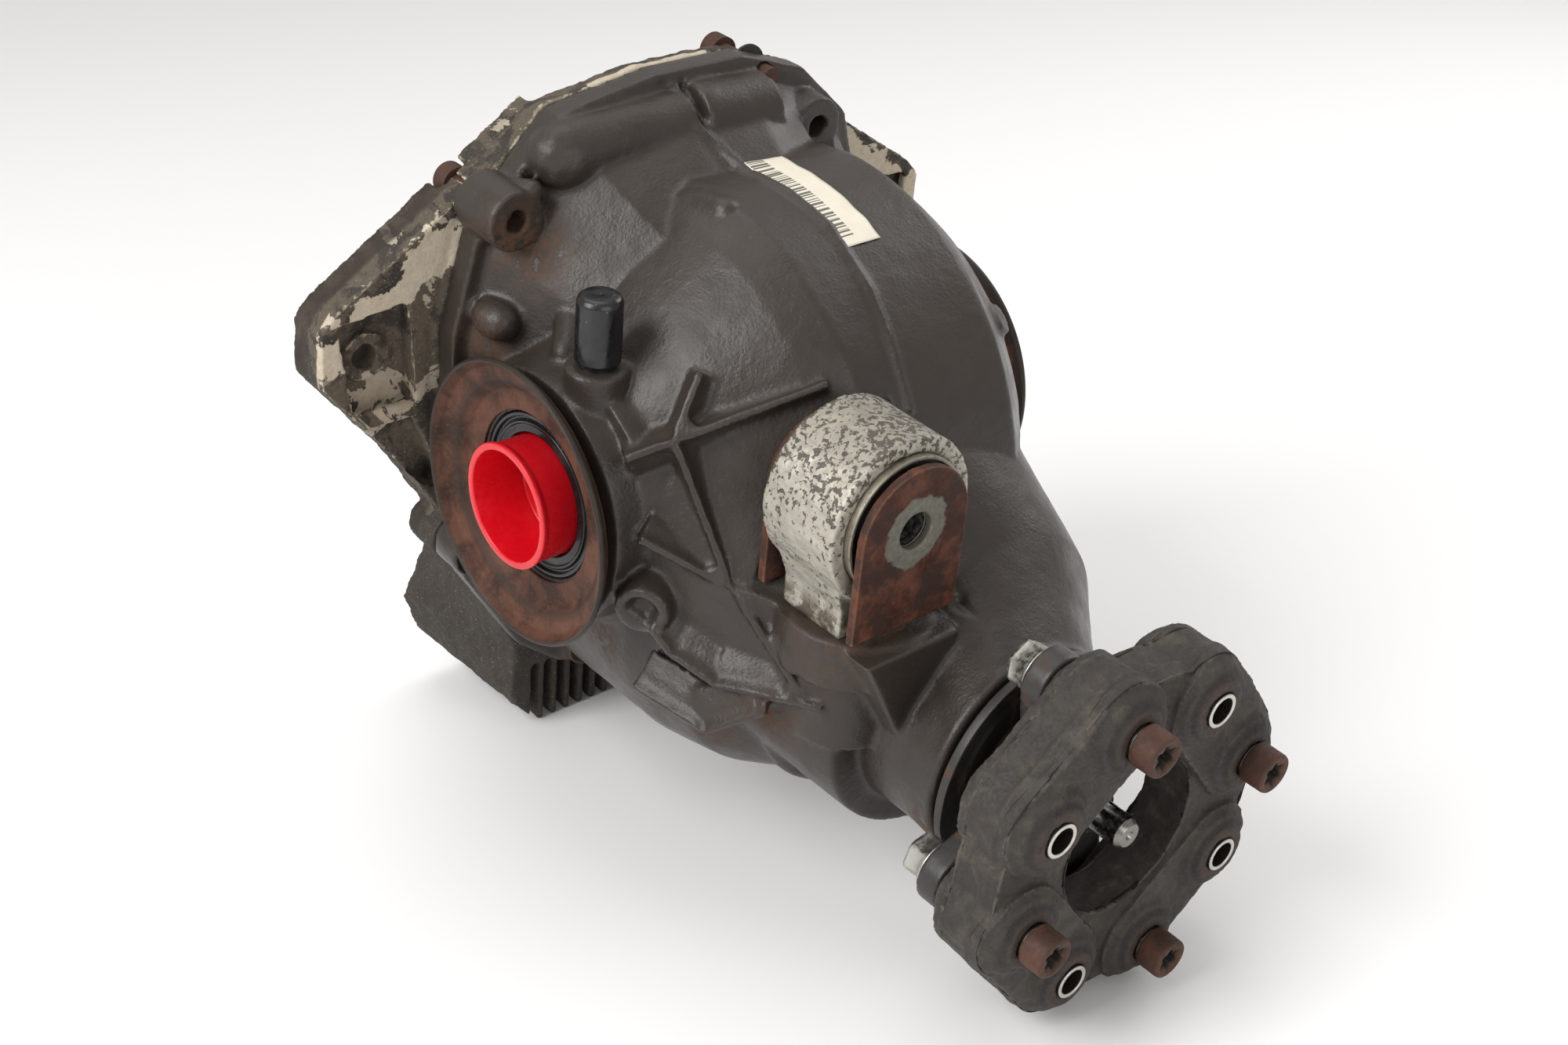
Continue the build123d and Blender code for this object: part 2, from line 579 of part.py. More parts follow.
with BuildPart() as coupling_nuts:
    for angle in BOLT_ANGLES:
        with BuildSketch(Plane(origin=around(angle, COUPLING_R, ARM_Y[1]), z_dir=Y_AXIS)):
            RegularPolygon(9.2, 6)
            Circle(COUPLING_BOLT_R, mode=Mode.SUBTRACT)
        extrude(amount=10)
save(coupling_nuts.part, "coupling_nuts")

# ---------------------------------------------------------------- crown wheel and case
with BuildPart() as crown_wheel:
    turn([(CROWN_BACK_X, CROWN_BORE_R), (CROWN_BACK_X, 89), (46, CROWN_R), (CROWN_ROOT_X, CROWN_R),
          (CROWN_ROOT_X, 66), (39, CROWN_BORE_R)])
    with BuildSketch(Plane.YZ.offset(CROWN_TIP_X)):
        for tooth in range(CROWN_TEETH):
            base = 360 / CROWN_TEETH * tooth
            flank = []
            for radius, lead in [(66.5, 0), (75, 5.5), (84, 10), (CROWN_R - 0.5, 13.5)]:
                flank.append((radius, base + lead))
            left = [(r, a - 1.7) for r, a in flank]
            right = [(r, a + 1.7) for r, a in reversed(flank)]
            with BuildLine():
                Polyline(*[(r * math.cos(math.radians(a)), r * math.sin(math.radians(a)))
                           for r, a in left + right], close=True)
            make_face()
    extrude(amount=CROWN_ROOT_X - CROWN_TIP_X + 0.5)
    with BuildSketch(Plane.YZ.offset(CROWN_BACK_X)):
        with PolarLocations(CROWN_BOLT_CIRCLE_R, CROWN_BOLTS):
            Circle(5)
    extrude(amount=-11, mode=Mode.SUBTRACT)
save(crown_wheel.part, "crown_wheel")

with BuildPart() as differential_case:
    turn([(-83, JOURNAL_BORE_R), (-83, JOURNAL_R), (-RACE_START_X, JOURNAL_R), (-RACE_START_X, 31),
          (-54, 33), (-44, CASE_R), (CROWN_BACK_X, CASE_R), (CROWN_BACK_X, FLANGE_R), (57, FLANGE_R),
          (57, 42), (RACE_START_X, 31), (RACE_START_X, JOURNAL_R), (83, JOURNAL_R),
          (83, JOURNAL_BORE_R)])
    Sphere(GEAR_BALL_R + 0.4, mode=Mode.SUBTRACT)
    tube(-48, 48, 22.1, 0, mode=Mode.SUBTRACT)
    rod((0, 0, -70), (0, 0, 70), PIN_R, Mode.SUBTRACT)
    with BuildSketch(Plane.XZ.offset(-70)):
        RectangleRounded(46, 62, 14)
    extrude(amount=140, mode=Mode.SUBTRACT)
    with BuildSketch(Plane.YZ.offset(CROWN_BACK_X)):
        with PolarLocations(CROWN_BOLT_CIRCLE_R, CROWN_BOLTS):
            Circle(5)
    extrude(amount=12, mode=Mode.SUBTRACT)
save(differential_case.part, "differential_case")

with BuildPart() as crown_wheel_bolts:
    for index in range(CROWN_BOLTS):
        a = math.radians(360 / CROWN_BOLTS * index)
        centre = (CROWN_BOLT_CIRCLE_R * math.cos(a), CROWN_BOLT_CIRCLE_R * math.sin(a))
        headed_bolt((57, centre[0], centre[1]), (-1, 0, 0), 5.0, 17.5, 8, 3.2, 4)
save(crown_wheel_bolts.part, "crown_wheel_bolts")

with BuildPart() as cross_pin:
    rod((0, 0, -CASE_R + 0.5), (0, 0, CASE_R - 0.5), PIN_R - 0.03)
save(cross_pin.part, "cross_pin")

SIDE_ROOT, SIDE_TIP = math.tan(math.radians(52.5)), math.tan(math.radians(61.4))
SPIDER_ROOT, SPIDER_TIP = math.tan(math.radians(26.5)), math.tan(math.radians(35.4))


def side_gear():
    """Side gear on the -X side."""
    with BuildPart() as gear:
        faces = []
        for x in (-14.0, -31.0):
            points = gear_points(SIDE_TEETH, -x * SIDE_ROOT, -x * SIDE_TIP, 6.6, 2.4)
            plane = Plane(origin=(x, 0, 0), x_dir=Y_AXIS, z_dir=X_AXIS)
            faces.append(outline_face(plane, points))
        loft(faces, ruled=True)
        tube(-20, -44, 22, 0)
        Sphere(GEAR_BALL_R, mode=Mode.INTERSECT)
        tube(-10, -50, 15, 0, mode=Mode.SUBTRACT)
    return gear.part


def spider_gear(sign):
    with BuildPart() as gear:
        faces = []
        for z in (21.0, 46.0):
            points = gear_points(SPIDER_TEETH, z * SPIDER_ROOT, z * SPIDER_TIP, 11.0, 3.4, 18.0)
            plane = Plane(origin=(0, 0, sign * z), x_dir=X_AXIS, z_dir=Z_AXIS)
            faces.append(outline_face(plane, points))
        loft(faces, ruled=True)
        Sphere(GEAR_BALL_R, mode=Mode.INTERSECT)
        rod((0, 0, 0), (0, 0, sign * 60), PIN_R + 0.05, Mode.SUBTRACT)
    return gear.part


save(side_gear(), "right_side_gear")
save(side_gear().mirror(Plane.YZ), "left_side_gear")
save(spider_gear(1), "upper_spider_gear")
save(spider_gear(-1), "lower_spider_gear")

# ---------------------------------------------------------------- breather and label
with BuildPart() as breather_cap:
    centre = (BREATHER[0], BREATHER[1], BREATHER_Z)
    turn([(1, 3.0), (1, 8.2), (2.5, 8.6), (26, 8.6), (28, 7.2), (28, 0), (24, 0), (24, 3.0)],
         centre, Z_AXIS)
save(breather_cap.part, "breather_cap")

with BuildPart() as breather_tube:
    turn([(-12, 2.0), (-12, 3.0), (0, 3.0), (0, 7), (1, 7), (1, 3.0), (23, 3.0), (23, 2.0)],
         (BREATHER[0], BREATHER[1], BREATHER_Z), Z_AXIS)
save(breather_tube.part, "breather_tube")

with BuildPart() as type_label:
    with BuildSketch(Plane.XY):
        with Locations(((4 + 23) / 2, BARREL_R + 0.15)):
            Rectangle(19, 0.2)
    revolve(axis=Axis.X, revolution_arc=35)
save(type_label.part.rotate(Axis.X, 83), "type_label")

# ---------------------------------------------------------------- front bush
BUSH = (BUSH_X, 0, BUSH_Z)
RING_Y = (-131.0, -95.0)

with BuildPart() as front_bush_bracket:
    tube(RING_Y[0], RING_Y[1], BUSH_RING_R, 0, BUSH, Y_AXIS)
    slab([(BUSH_X - 21, PAD_Z), (BUSH_X + 21, PAD_Z), (BUSH_X + 21, 8), (BUSH_X + 26, 22),
          (BUSH_X - 26, 22), (BUSH_X - 21, 8)], -128, -98)
    tube(RING_Y[0] - 1, RING_Y[1] + 1, BUSH_SHELL_R, 0, BUSH, Y_AXIS, Mode.SUBTRACT)
    rod((BUSH_X, -114, PAD_Z - 1), (BUSH_X, -114, 7), 5.0, Mode.SUBTRACT)
save(front_bush_bracket.part, "front_bush_bracket")

with BuildPart() as bracket_stud:
    rod((BUSH_X, -114, -28), (BUSH_X, -114, 6.5), 4.95)
save(bracket_stud.part, "bracket_stud")

with BuildPart() as bush_shell:
    tube(RING_Y[0] - 2.5, RING_Y[1] + 2.5, BUSH_SHELL_R, BUSH_SHELL_R - 1.5, BUSH, Y_AXIS)
save(bush_shell.part, "bush_shell")

with BuildPart() as bush_rubber:
    turn([(RING_Y[0] - 1, BUSH_SHELL_R - 1.5), (RING_Y[1] + 1, BUSH_SHELL_R - 1.5),
          (RING_Y[1] - 3, 18), (RING_Y[1], BUSH_SLEEVE_R + 0.3), (RING_Y[0], BUSH_SLEEVE_R + 0.3),
          (RING_Y[0] + 3, 18)], BUSH, Y_AXIS)
save(bush_rubber.part, "bush_rubber")

with BuildPart() as bush_sleeve:
    tube(BUSH_Y[0] + PLATE, BUSH_Y[1] - PLATE, BUSH_SLEEVE_R, BUSH_BORE_R, BUSH, Y_AXIS)
save(bush_sleeve.part, "bush_sleeve")


def bush_plate(start, end):
    """Round-topped plate with a straight lower edge."""
    with BuildPart() as plate:
        slab([(BUSH_X - PLATE_WIDTH / 2, 0.5), (BUSH_X + PLATE_WIDTH / 2, 0.5),
              (BUSH_X + PLATE_WIDTH / 2, BUSH_Z), (BUSH_X - PLATE_WIDTH / 2, BUSH_Z)], start, end)
        tube(start, end, PLATE_WIDTH / 2, 0, BUSH, Y_AXIS)
        tube(start - 1, end + 1, BUSH_BORE_R, 0, BUSH, Y_AXIS, Mode.SUBTRACT)
    return plate.part


save(bush_plate(BUSH_Y[0], BUSH_Y[0] + PLATE), "bush_plate_front")
save(bush_plate(BUSH_Y[1] - PLATE, BUSH_Y[1]), "bush_plate_rear")
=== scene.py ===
"""Looks of the rear axle differential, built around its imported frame. Units are metres."""

import json
import math

import bmesh
import bpy
import numpy as np
from mathutils import Matrix, Vector, noise


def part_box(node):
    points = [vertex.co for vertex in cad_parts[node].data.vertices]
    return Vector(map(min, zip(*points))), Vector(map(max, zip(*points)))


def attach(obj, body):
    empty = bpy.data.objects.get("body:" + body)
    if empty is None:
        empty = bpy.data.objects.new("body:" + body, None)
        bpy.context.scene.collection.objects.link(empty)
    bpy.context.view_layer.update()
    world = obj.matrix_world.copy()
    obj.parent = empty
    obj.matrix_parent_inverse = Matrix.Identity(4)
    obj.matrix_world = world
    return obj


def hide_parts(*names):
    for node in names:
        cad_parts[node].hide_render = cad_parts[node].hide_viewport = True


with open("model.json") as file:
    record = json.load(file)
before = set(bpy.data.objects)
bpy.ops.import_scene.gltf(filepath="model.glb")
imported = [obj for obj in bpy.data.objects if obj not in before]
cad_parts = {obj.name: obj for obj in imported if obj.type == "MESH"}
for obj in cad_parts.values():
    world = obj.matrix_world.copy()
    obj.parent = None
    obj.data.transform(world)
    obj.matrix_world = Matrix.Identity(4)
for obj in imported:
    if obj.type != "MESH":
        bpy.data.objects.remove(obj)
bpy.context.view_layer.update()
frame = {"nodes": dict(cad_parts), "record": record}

MM = 0.001
X, Y, Z = Vector((1, 0, 0)), Vector((0, 1, 0)), Vector((0, 0, 1))

# ------------------------------------------------------------------ places taken from the frame
disc_low, disc_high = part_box("flex_disc")
cover_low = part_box("rear_cover")[0]
housing_low, housing_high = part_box("carrier_housing")
bush_low, bush_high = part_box("bush_sleeve")
shield_low, shield_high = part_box("left_output_shield")
cap_low, cap_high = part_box("breather_cap")
nut_low, nut_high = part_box("flange_nut")
PINION = Vector((0, 0, nut_low.z / 2 + nut_high.z / 2))
BUSH = Vector(((bush_low.x + bush_high.x) / 2, 0, (bush_low.z + bush_high.z) / 2))
CAP = Vector(((cap_low.x + cap_high.x) / 2, (cap_low.y + cap_high.y) / 2, 0))
SEAM_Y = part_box("cover_gasket")[0].y
NOSE_LIP_Y = housing_low.y + 2.5 * MM

COUPLING_R = 55 * MM
FREE_BORE, BOLTED_BORE, BOLT_R = 5.1 * MM, 5.5 * MM, 5.4 * MM
SLEEVE_R, BOLT_HEAD = 6.75 * MM, 10 * MM
STAR_R, STAR_DEPTH, STAR_LOBES = 4.1 * MM, 0.75 * MM, 6
NUT_FLAT, NUT_CORNER = 7.7 * MM, 8.3 * MM
COLLAR_R, LOBE_R, RIM_R = 11.4 * MM, 15.4 * MM, 66 * MM
SLEEVE_ANGLES = [29, 119, 209, 299]
BOLT_ANGLES = [74, 164, 254, 344]

# Upper corner of an ear, and the unit vector pointing inward from its sloping upper edge.
EAR_CORNER_X, EAR_CORNER_Z = 143 * MM, 59 * MM
EAR_INWARD_X, EAR_INWARD_Z = 0.548, 0.837
# Band of bars on the label: across its width in metres, along its length in radians.
BARS_START, BARS_END = 4.5 * MM, 13.0 * MM
BARS_FIRST, BARS_LAST, BARS_SCALE = -0.40, 0.12, 85


def around(angle, radius=COUPLING_R, y=0.0):
    """Point about the pinion axis; the angle runs from +Z towards +X."""
    a = math.radians(angle)
    return Vector((radius * math.sin(a), y, PINION.z + radius * math.cos(a)))


# ------------------------------------------------------------------ shader helper
class Shader:
    """One procedural material, built from short calls."""

    def __init__(self, name, roughness=0.5, metallic=0.0):
        self.material = bpy.data.materials.new(name)
        self.material.use_nodes = True
        self.tree = self.material.node_tree
        self.bsdf = self.tree.nodes["Principled BSDF"]
        self.coords = self.tree.nodes.new("ShaderNodeTexCoord").outputs["Object"]
        self.normal = None
        self.set("Roughness", roughness)
        self.set("Metallic", metallic)

    def plug(self, socket, value):
        if isinstance(value, bpy.types.NodeSocket):
            self.tree.links.new(value, socket)
        else:
            socket.default_value = value

    def set(self, name, value):
        self.plug(self.bsdf.inputs[name], value)

    def noise(self, size, detail=6.0, rough=0.55, warp=0.0, stretch=(1, 1, 1)):
        """Noise whose features are about size metres across."""
        node = self.tree.nodes.new("ShaderNodeTexNoise")
        mapping = self.tree.nodes.new("ShaderNodeMapping")
        mapping.inputs["Scale"].default_value = stretch
        self.plug(mapping.inputs["Vector"], self.coords)
        self.plug(node.inputs["Vector"], mapping.outputs[0])
        node.inputs["Scale"].default_value = 1 / size
        node.inputs["Detail"].default_value = detail
        node.inputs["Roughness"].default_value = rough
        node.inputs["Distortion"].default_value = warp
        return node.outputs["Fac"]

    def ramp(self, value, low, high, start=0.0, end=1.0):
        """Maps low..high to start..end, held flat outside."""
        node = self.tree.nodes.new("ShaderNodeMapRange")
        node.interpolation_type = "SMOOTHSTEP"
        for socket, number in zip(list(node.inputs)[:5], (value, low, high, start, end)):
            self.plug(socket, number)
        return node.outputs[0]

    def math(self, operation, a, b=0.0):
        node = self.tree.nodes.new("ShaderNodeMath")
        node.operation = operation
        self.plug(node.inputs[0], a)
        self.plug(node.inputs[1], b)
        return node.outputs[0]

    def times(self, a, b):
        return self.math("MULTIPLY", a, b)

    def window(self, value, low, full, fall, high):
        """Rises from low to full and falls from fall to high."""
        return self.times(self.ramp(value, low, full), self.ramp(value, fall, high, 1.0, 0.0))

    def mix(self, factor, a, b):
        node = self.tree.nodes.new("ShaderNodeMix")
        node.data_type = "RGBA"
        self.plug(node.inputs["Factor"], factor)
        for socket, colour in ((node.inputs["A"], a), (node.inputs["B"], b)):
            if isinstance(colour, tuple):
                colour = (*colour, 1)
            self.plug(socket, colour)
        return node.outputs["Result"]

    def mix_value(self, factor, a, b):
        node = self.tree.nodes.new("ShaderNodeMix")
        self.plug(node.inputs["Factor"], factor)
        self.plug(node.inputs["A"], a)
        self.plug(node.inputs["B"], b)
        return node.outputs["Result"]

    def place(self, axis):
        """One coordinate of the point, in metres."""
        node = self.tree.nodes.new("ShaderNodeSeparateXYZ")
        self.plug(node.inputs[0], self.coords)
        return node.outputs["XYZ".index(axis)]

    def distance(self, axis, centre):
        """Distance from a line through centre parallel to an axis."""
        total = None
        for name, value in zip("XYZ", centre):
            if name == axis:
                continue
            offset = self.math("SUBTRACT", self.place(name), value)
            square = self.math("MULTIPLY", offset, offset)
            total = square if total is None else self.math("ADD", total, square)
        return self.math("SQRT", total)

    def near(self, centre, reach):
        """One at a point, fading to zero at reach."""
        node = self.tree.nodes.new("ShaderNodeVectorMath")
        node.operation = "DISTANCE"
        self.plug(node.inputs[0], self.coords)
        node.inputs[1].default_value = centre
        return self.ramp(node.outputs["Value"], 0.0, reach, 1.0, 0.0)

    def crevice(self, low, high):
        """One in hollows, zero on crests."""
        node = self.tree.nodes.new("ShaderNodeNewGeometry")
        return self.ramp(node.outputs["Pointiness"], low, high, 1.0, 0.0)

    def edge(self, low, high):
        """One on crests, zero in hollows."""
        node = self.tree.nodes.new("ShaderNodeNewGeometry")
        return self.ramp(node.outputs["Pointiness"], low, high)

    def upward(self, low, high):
        """One on faces that look up."""
        node = self.tree.nodes.new("ShaderNodeNewGeometry")
        split = self.tree.nodes.new("ShaderNodeSeparateXYZ")
        self.plug(split.inputs[0], node.outputs["Normal"])
        return self.ramp(split.outputs["Z"], low, high)

    def bump(self, height, depth):
        """Adds relief of about depth metres."""
        node = self.tree.nodes.new("ShaderNodeBump")
        node.inputs["Distance"].default_value = depth
        node.inputs["Strength"].default_value = 1.0
        self.plug(node.inputs["Height"], height)
        if self.normal is not None:
            self.plug(node.inputs["Normal"], self.normal)
        self.normal = node.outputs[0]
        self.set("Normal", self.normal)


# ------------------------------------------------------------------ materials
def housing_paint():
    """Satin black paint on rough cast iron, rusted in places, with painted shade darkening its hollows."""
    s = Shader("housing_paint")
    tone = s.noise(35 * MM, 4)
    grain = s.noise(1.3 * MM, 5, 0.6)
    colour = s.mix(tone, (0.024, 0.0188, 0.0155), (0.042, 0.033, 0.0275))
    dust = s.times(s.upward(0.2, 1.0), s.noise(18 * MM, 7))
    colour = s.mix(s.times(dust, 0.08), colour, (0.12, 0.10, 0.08))
    # Painted shade: the hollows are darkened towards near-black; the same hollow mask also gathers rust.
    hollow = s.crevice(0.40, 0.485)
    colour = s.mix(s.times(hollow, 0.75), colour, (0.010, 0.008, 0.007))
    spots = s.ramp(s.noise(9 * MM, 8, 0.65, 0.4), 0.57, 0.67)
    rust = s.times(spots, hollow)
    for centre, reach in RUST_PLACES:
        local = s.times(s.near(centre, reach), s.ramp(s.noise(5 * MM, 8, 0.7), 0.40, 0.56))
        rust = s.math("MAXIMUM", rust, local)
    rust_colour = s.mix(s.noise(3 * MM, 6), (0.040, 0.018, 0.010), (0.15, 0.065, 0.028))
    colour = s.mix(s.times(rust, 0.85), colour, rust_colour)
    scuffs = s.ramp(s.noise(2.2 * MM, 3, 0.5, 1.5), 0.73, 0.77)
    colour = s.mix(s.times(scuffs, 0.3), colour, (0.14, 0.13, 0.115))
    worn = s.edge(0.54, 0.60)
    colour = s.mix(s.times(worn, 0.25), colour, (0.10, 0.09, 0.08))
    s.set("Base Color", colour)
    rough = s.ramp(s.noise(14 * MM, 6), 0.3, 0.7, 0.27, 0.42)
    rough = s.mix_value(rust, rough, 0.85)
    s.set("Roughness", rough)
    s.set("Specular IOR Level", 0.38)
    s.bump(grain, 0.22 * MM)
    s.bump(s.noise(4.5 * MM, 5, 0.5), 0.16 * MM)
    s.bump(rust, 0.15 * MM)
    return s.material


def cover_alloy():
    """Weathered aluminium: cream oxide under the ears' upper edges, painted shade in the hollows and in the
    pockets behind the ears' front faces, dark skin.
    """
    s = Shader("cover_alloy")
    grit = s.noise(1.6 * MM, 8, 0.7)
    tone = s.noise(12 * MM, 8, 0.62)
    dark = s.mix(tone, (0.016, 0.0125, 0.010), (0.062, 0.052, 0.043))
    earth = s.mix(grit, (0.030, 0.024, 0.018), (0.15, 0.12, 0.085))
    cream = s.mix(s.noise(3 * MM, 8, 0.7), (0.30, 0.25, 0.18), (0.66, 0.58, 0.46))
    high = s.ramp(s.place("Z"), -60 * MM, 0.0)
    soil = s.times(s.ramp(s.noise(16 * MM, 9, 0.65, 0.6), 0.43, 0.51), high)
    colour = s.mix(soil, dark, earth)
    # distance inward from the ear's sloping upper edge
    across = s.math("SUBTRACT", EAR_CORNER_X, s.math("ABSOLUTE", s.place("X")))
    over = s.math("SUBTRACT", s.place("Z"), EAR_CORNER_Z)
    below = s.math("SUBTRACT", s.times(across, EAR_INWARD_X), s.times(over, EAR_INWARD_Z))
    wobble = s.ramp(s.noise(16 * MM, 9, 0.6, 0.4), 0.0, 1.0, -14 * MM, 14 * MM)
    below = s.math("ADD", below, wobble)
    band = s.window(below, 2.5 * MM, 3.2 * MM, 20 * MM, 21.5 * MM)
    front = s.ramp(s.place("Y"), SEAM_Y + 5 * MM, SEAM_Y + 6 * MM, 1.0, 0.0)
    band = s.times(band, front)
    flaked = s.noise(30 * MM, 10, 0.62, 0.5)
    patch = s.times(s.ramp(flaked, 0.575, 0.585), s.times(high, 0.7))
    patch = s.times(patch, s.ramp(s.place("Y"), SEAM_Y + 12 * MM, SEAM_Y + 30 * MM, 1.0, 0.25))
    patch = s.math("MAXIMUM", band, patch)
    chipped = s.times(s.edge(0.53, 0.57), s.ramp(s.noise(7 * MM, 8, 0.65), 0.46, 0.52))
    patch = s.math("MAXIMUM", patch, s.times(chipped, s.times(high, 0.9)))
    colour = s.mix(patch, colour, cream)
    speck = s.ramp(s.noise(1.1 * MM, 4, 0.6), 0.60, 0.68)
    colour = s.mix(s.times(speck, 0.4), colour, (0.27, 0.25, 0.22))
    # Painted shade: the hollows are darkened towards near-black.
    colour = s.mix(s.times(s.crevice(0.40, 0.48), 0.85), colour, (0.012, 0.010, 0.008))
    # Painted shade: the outer parts behind the ears' front faces, in the pockets, are darkened with a grainy
    # dark colour.
    outer = s.ramp(s.math("ABSOLUTE", s.place("X")), 84 * MM, 90 * MM)
    pocket_shade = s.times(outer, s.ramp(s.place("Y"), SEAM_Y + 10 * MM, SEAM_Y + 13 * MM))
    stain = s.mix(grit, (0.016, 0.011, 0.008), (0.045, 0.033, 0.025))
    colour = s.mix(s.times(pocket_shade, s.ramp(tone, 0.35, 0.65, 0.95, 0.6)), colour, stain)
    s.set("Base Color", colour)
    s.set("Specular IOR Level", 0.3)
    s.set("Roughness", s.ramp(grit, 0.3, 0.7, 0.62, 0.85))
    s.bump(grit, 0.35 * MM)
    s.bump(patch, 0.5 * MM)
    s.bump(s.noise(6 * MM, 6, 0.6), 0.7 * MM)
    return s.material


def rust_sheet(name, light=0.0):
    """Brown rusted sheet or plate; light adds red. Returns the shader and its colour."""
    s = Shader(name)
    tone = s.noise(14 * MM, 8, 0.6, 0.5)
    fine = s.noise(1.5 * MM, 6, 0.65)
    colour = s.mix(s.ramp(tone, 0.35, 0.65), (0.032 + light, 0.014, 0.009), (0.105 + light, 0.043, 0.026))
    colour = s.mix(s.times(s.ramp(fine, 0.5, 0.75), 0.45), colour, (0.17, 0.078, 0.042))
    s.set("Base Color", colour)
    s.set("Roughness", s.ramp(fine, 0.3, 0.7, 0.55, 0.8))
    s.set("Specular IOR Level", 0.25)
    s.bump(fine, 0.12 * MM)
    s.bump(s.noise(5 * MM, 6, 0.6), 0.2 * MM)
    return s, colour


def shield_rust():
    """Rusted dust shield with a dark rim and a dark inner step."""
    s, colour = rust_sheet("shield_rust")
    radius = s.distance("X", (0, 0, 0))
    rim = s.ramp(radius, 52.8 * MM, 54.6 * MM)
    dark = s.mix(s.noise(6 * MM, 6), (0.010, 0.009, 0.008), (0.045, 0.030, 0.022))
    ring = s.window(radius, 43 * MM, 45 * MM, 46.5 * MM, 48.5 * MM)
    shade = s.math("MAXIMUM", rim, s.times(ring, 0.55))
    colour = s.mix(shade, colour, dark)
    s.set("Base Color", colour)
    s.set("Roughness", s.mix_value(rim, 0.62, 0.42))
    return s.material


def seal_rubber():
    s = Shader("seal_rubber", roughness=0.25)
    dust = s.ramp(s.noise(4 * MM, 7, 0.6), 0.55, 0.75)
    s.set("Base Color", s.mix(s.times(dust, 0.3), (0.006, 0.006, 0.007), (0.05, 0.05, 0.05)))
    s.set("Roughness", s.ramp(dust, 0, 1, 0.2, 0.45))
    s.set("Specular IOR Level", 0.35)
    s.bump(s.noise(2.5 * MM, 4), 0.01 * MM)
    return s.material


def plug_red():
    s = Shader("plug_red", roughness=0.28)
    tone = s.noise(16 * MM, 4)
    s.set("Base Color", s.mix(tone, (0.50, 0.003, 0.009), (0.64, 0.005, 0.014)))
    s.set("Roughness", s.ramp(s.noise(3 * MM, 5), 0.3, 0.7, 0.22, 0.36))
    s.bump(s.noise(1.2 * MM, 3), 0.03 * MM)
    return s.material


def bush_alloy():
    """Pale cast aluminium, flecked with dark pits that thicken towards the top, with painted shade on the
    faces that look up.
    """
    s = Shader("bush_alloy")
    streak = s.noise(2.2 * MM, 7, 0.6, 0, (1, 0.12, 1))
    colour = s.mix(streak, (0.27, 0.25, 0.21), (0.57, 0.54, 0.475))
    # Painted shade: faces that look up are darkened towards a darker copy of the aluminium.
    colour = s.mix(s.times(s.upward(0.3, 1.0), 0.5), colour, (0.20, 0.18, 0.145))
    oxide = s.ramp(s.noise(10 * MM, 8, 0.6, 0.4), 0.45, 0.62)
    colour = s.mix(s.times(oxide, 0.5), colour, (0.40, 0.37, 0.30))
    patch = s.noise(2.1 * MM, 6, 0.6, 0.3)
    region = s.ramp(s.place("Z"), BUSH.z - 14 * MM, BUSH.z + 28 * MM, -0.02, 0.08)
    cluster = s.ramp(s.noise(14 * MM, 3), 0.3, 0.7, -0.05, 0.05)
    spots = s.ramp(s.math("ADD", patch, s.math("ADD", region, cluster)), 0.585, 0.61)
    colour = s.mix(spots, colour, s.mix(streak, (0.040, 0.034, 0.027), (0.10, 0.086, 0.066)))
    pits = s.ramp(s.noise(1.2 * MM, 4), 0.66, 0.72)
    colour = s.mix(s.times(pits, 0.6), colour, (0.05, 0.045, 0.035))
    foot = s.ramp(s.place("Z"), 0.0, 12 * MM, 1.0, 0.0)
    dirt = s.times(foot, s.ramp(s.noise(6 * MM, 8, 0.65), 0.40, 0.55))
    colour = s.mix(s.times(dirt, 0.85), colour, (0.075, 0.055, 0.035))
    s.set("Base Color", colour)
    s.set("Metallic", s.mix_value(spots, 0.55, 0.0))
    s.set("Roughness", s.ramp(streak, 0.3, 0.7, 0.38, 0.6))
    s.bump(s.math("SUBTRACT", streak, s.times(spots, 0.6)), 0.12 * MM)
    s.bump(s.noise(2.5 * MM, 5), 0.12 * MM)
    return s.material


def plate_rust():
    """Rusted plate with a bare ring round the bolt hole."""
    s, colour = rust_sheet("plate_rust", 0.01)
    radius = s.distance("Y", (BUSH.x, 0, BUSH.z))
    wavy = s.math("ADD", radius, s.ramp(s.noise(4 * MM, 6), 0.0, 1.0, -2.5 * MM, 2.5 * MM))
    bare = s.ramp(wavy, 13.0 * MM, 14.5 * MM, 1.0, 0.0)
    steel = s.mix(s.noise(2 * MM, 6), (0.10, 0.095, 0.075), (0.27, 0.26, 0.22))
    face = s.mix(s.ramp(s.noise(9 * MM, 7, 0.6), 0.4, 0.6), colour, (0.040, 0.020, 0.016))
    colour = s.mix(bare, face, steel)
    edge_rust = s.edge(0.52, 0.58)
    colour = s.mix(s.times(edge_rust, 0.6), colour, (0.33, 0.14, 0.045))
    s.set("Base Color", colour)
    s.set("Metallic", s.times(bare, 0.5))
    return s.material


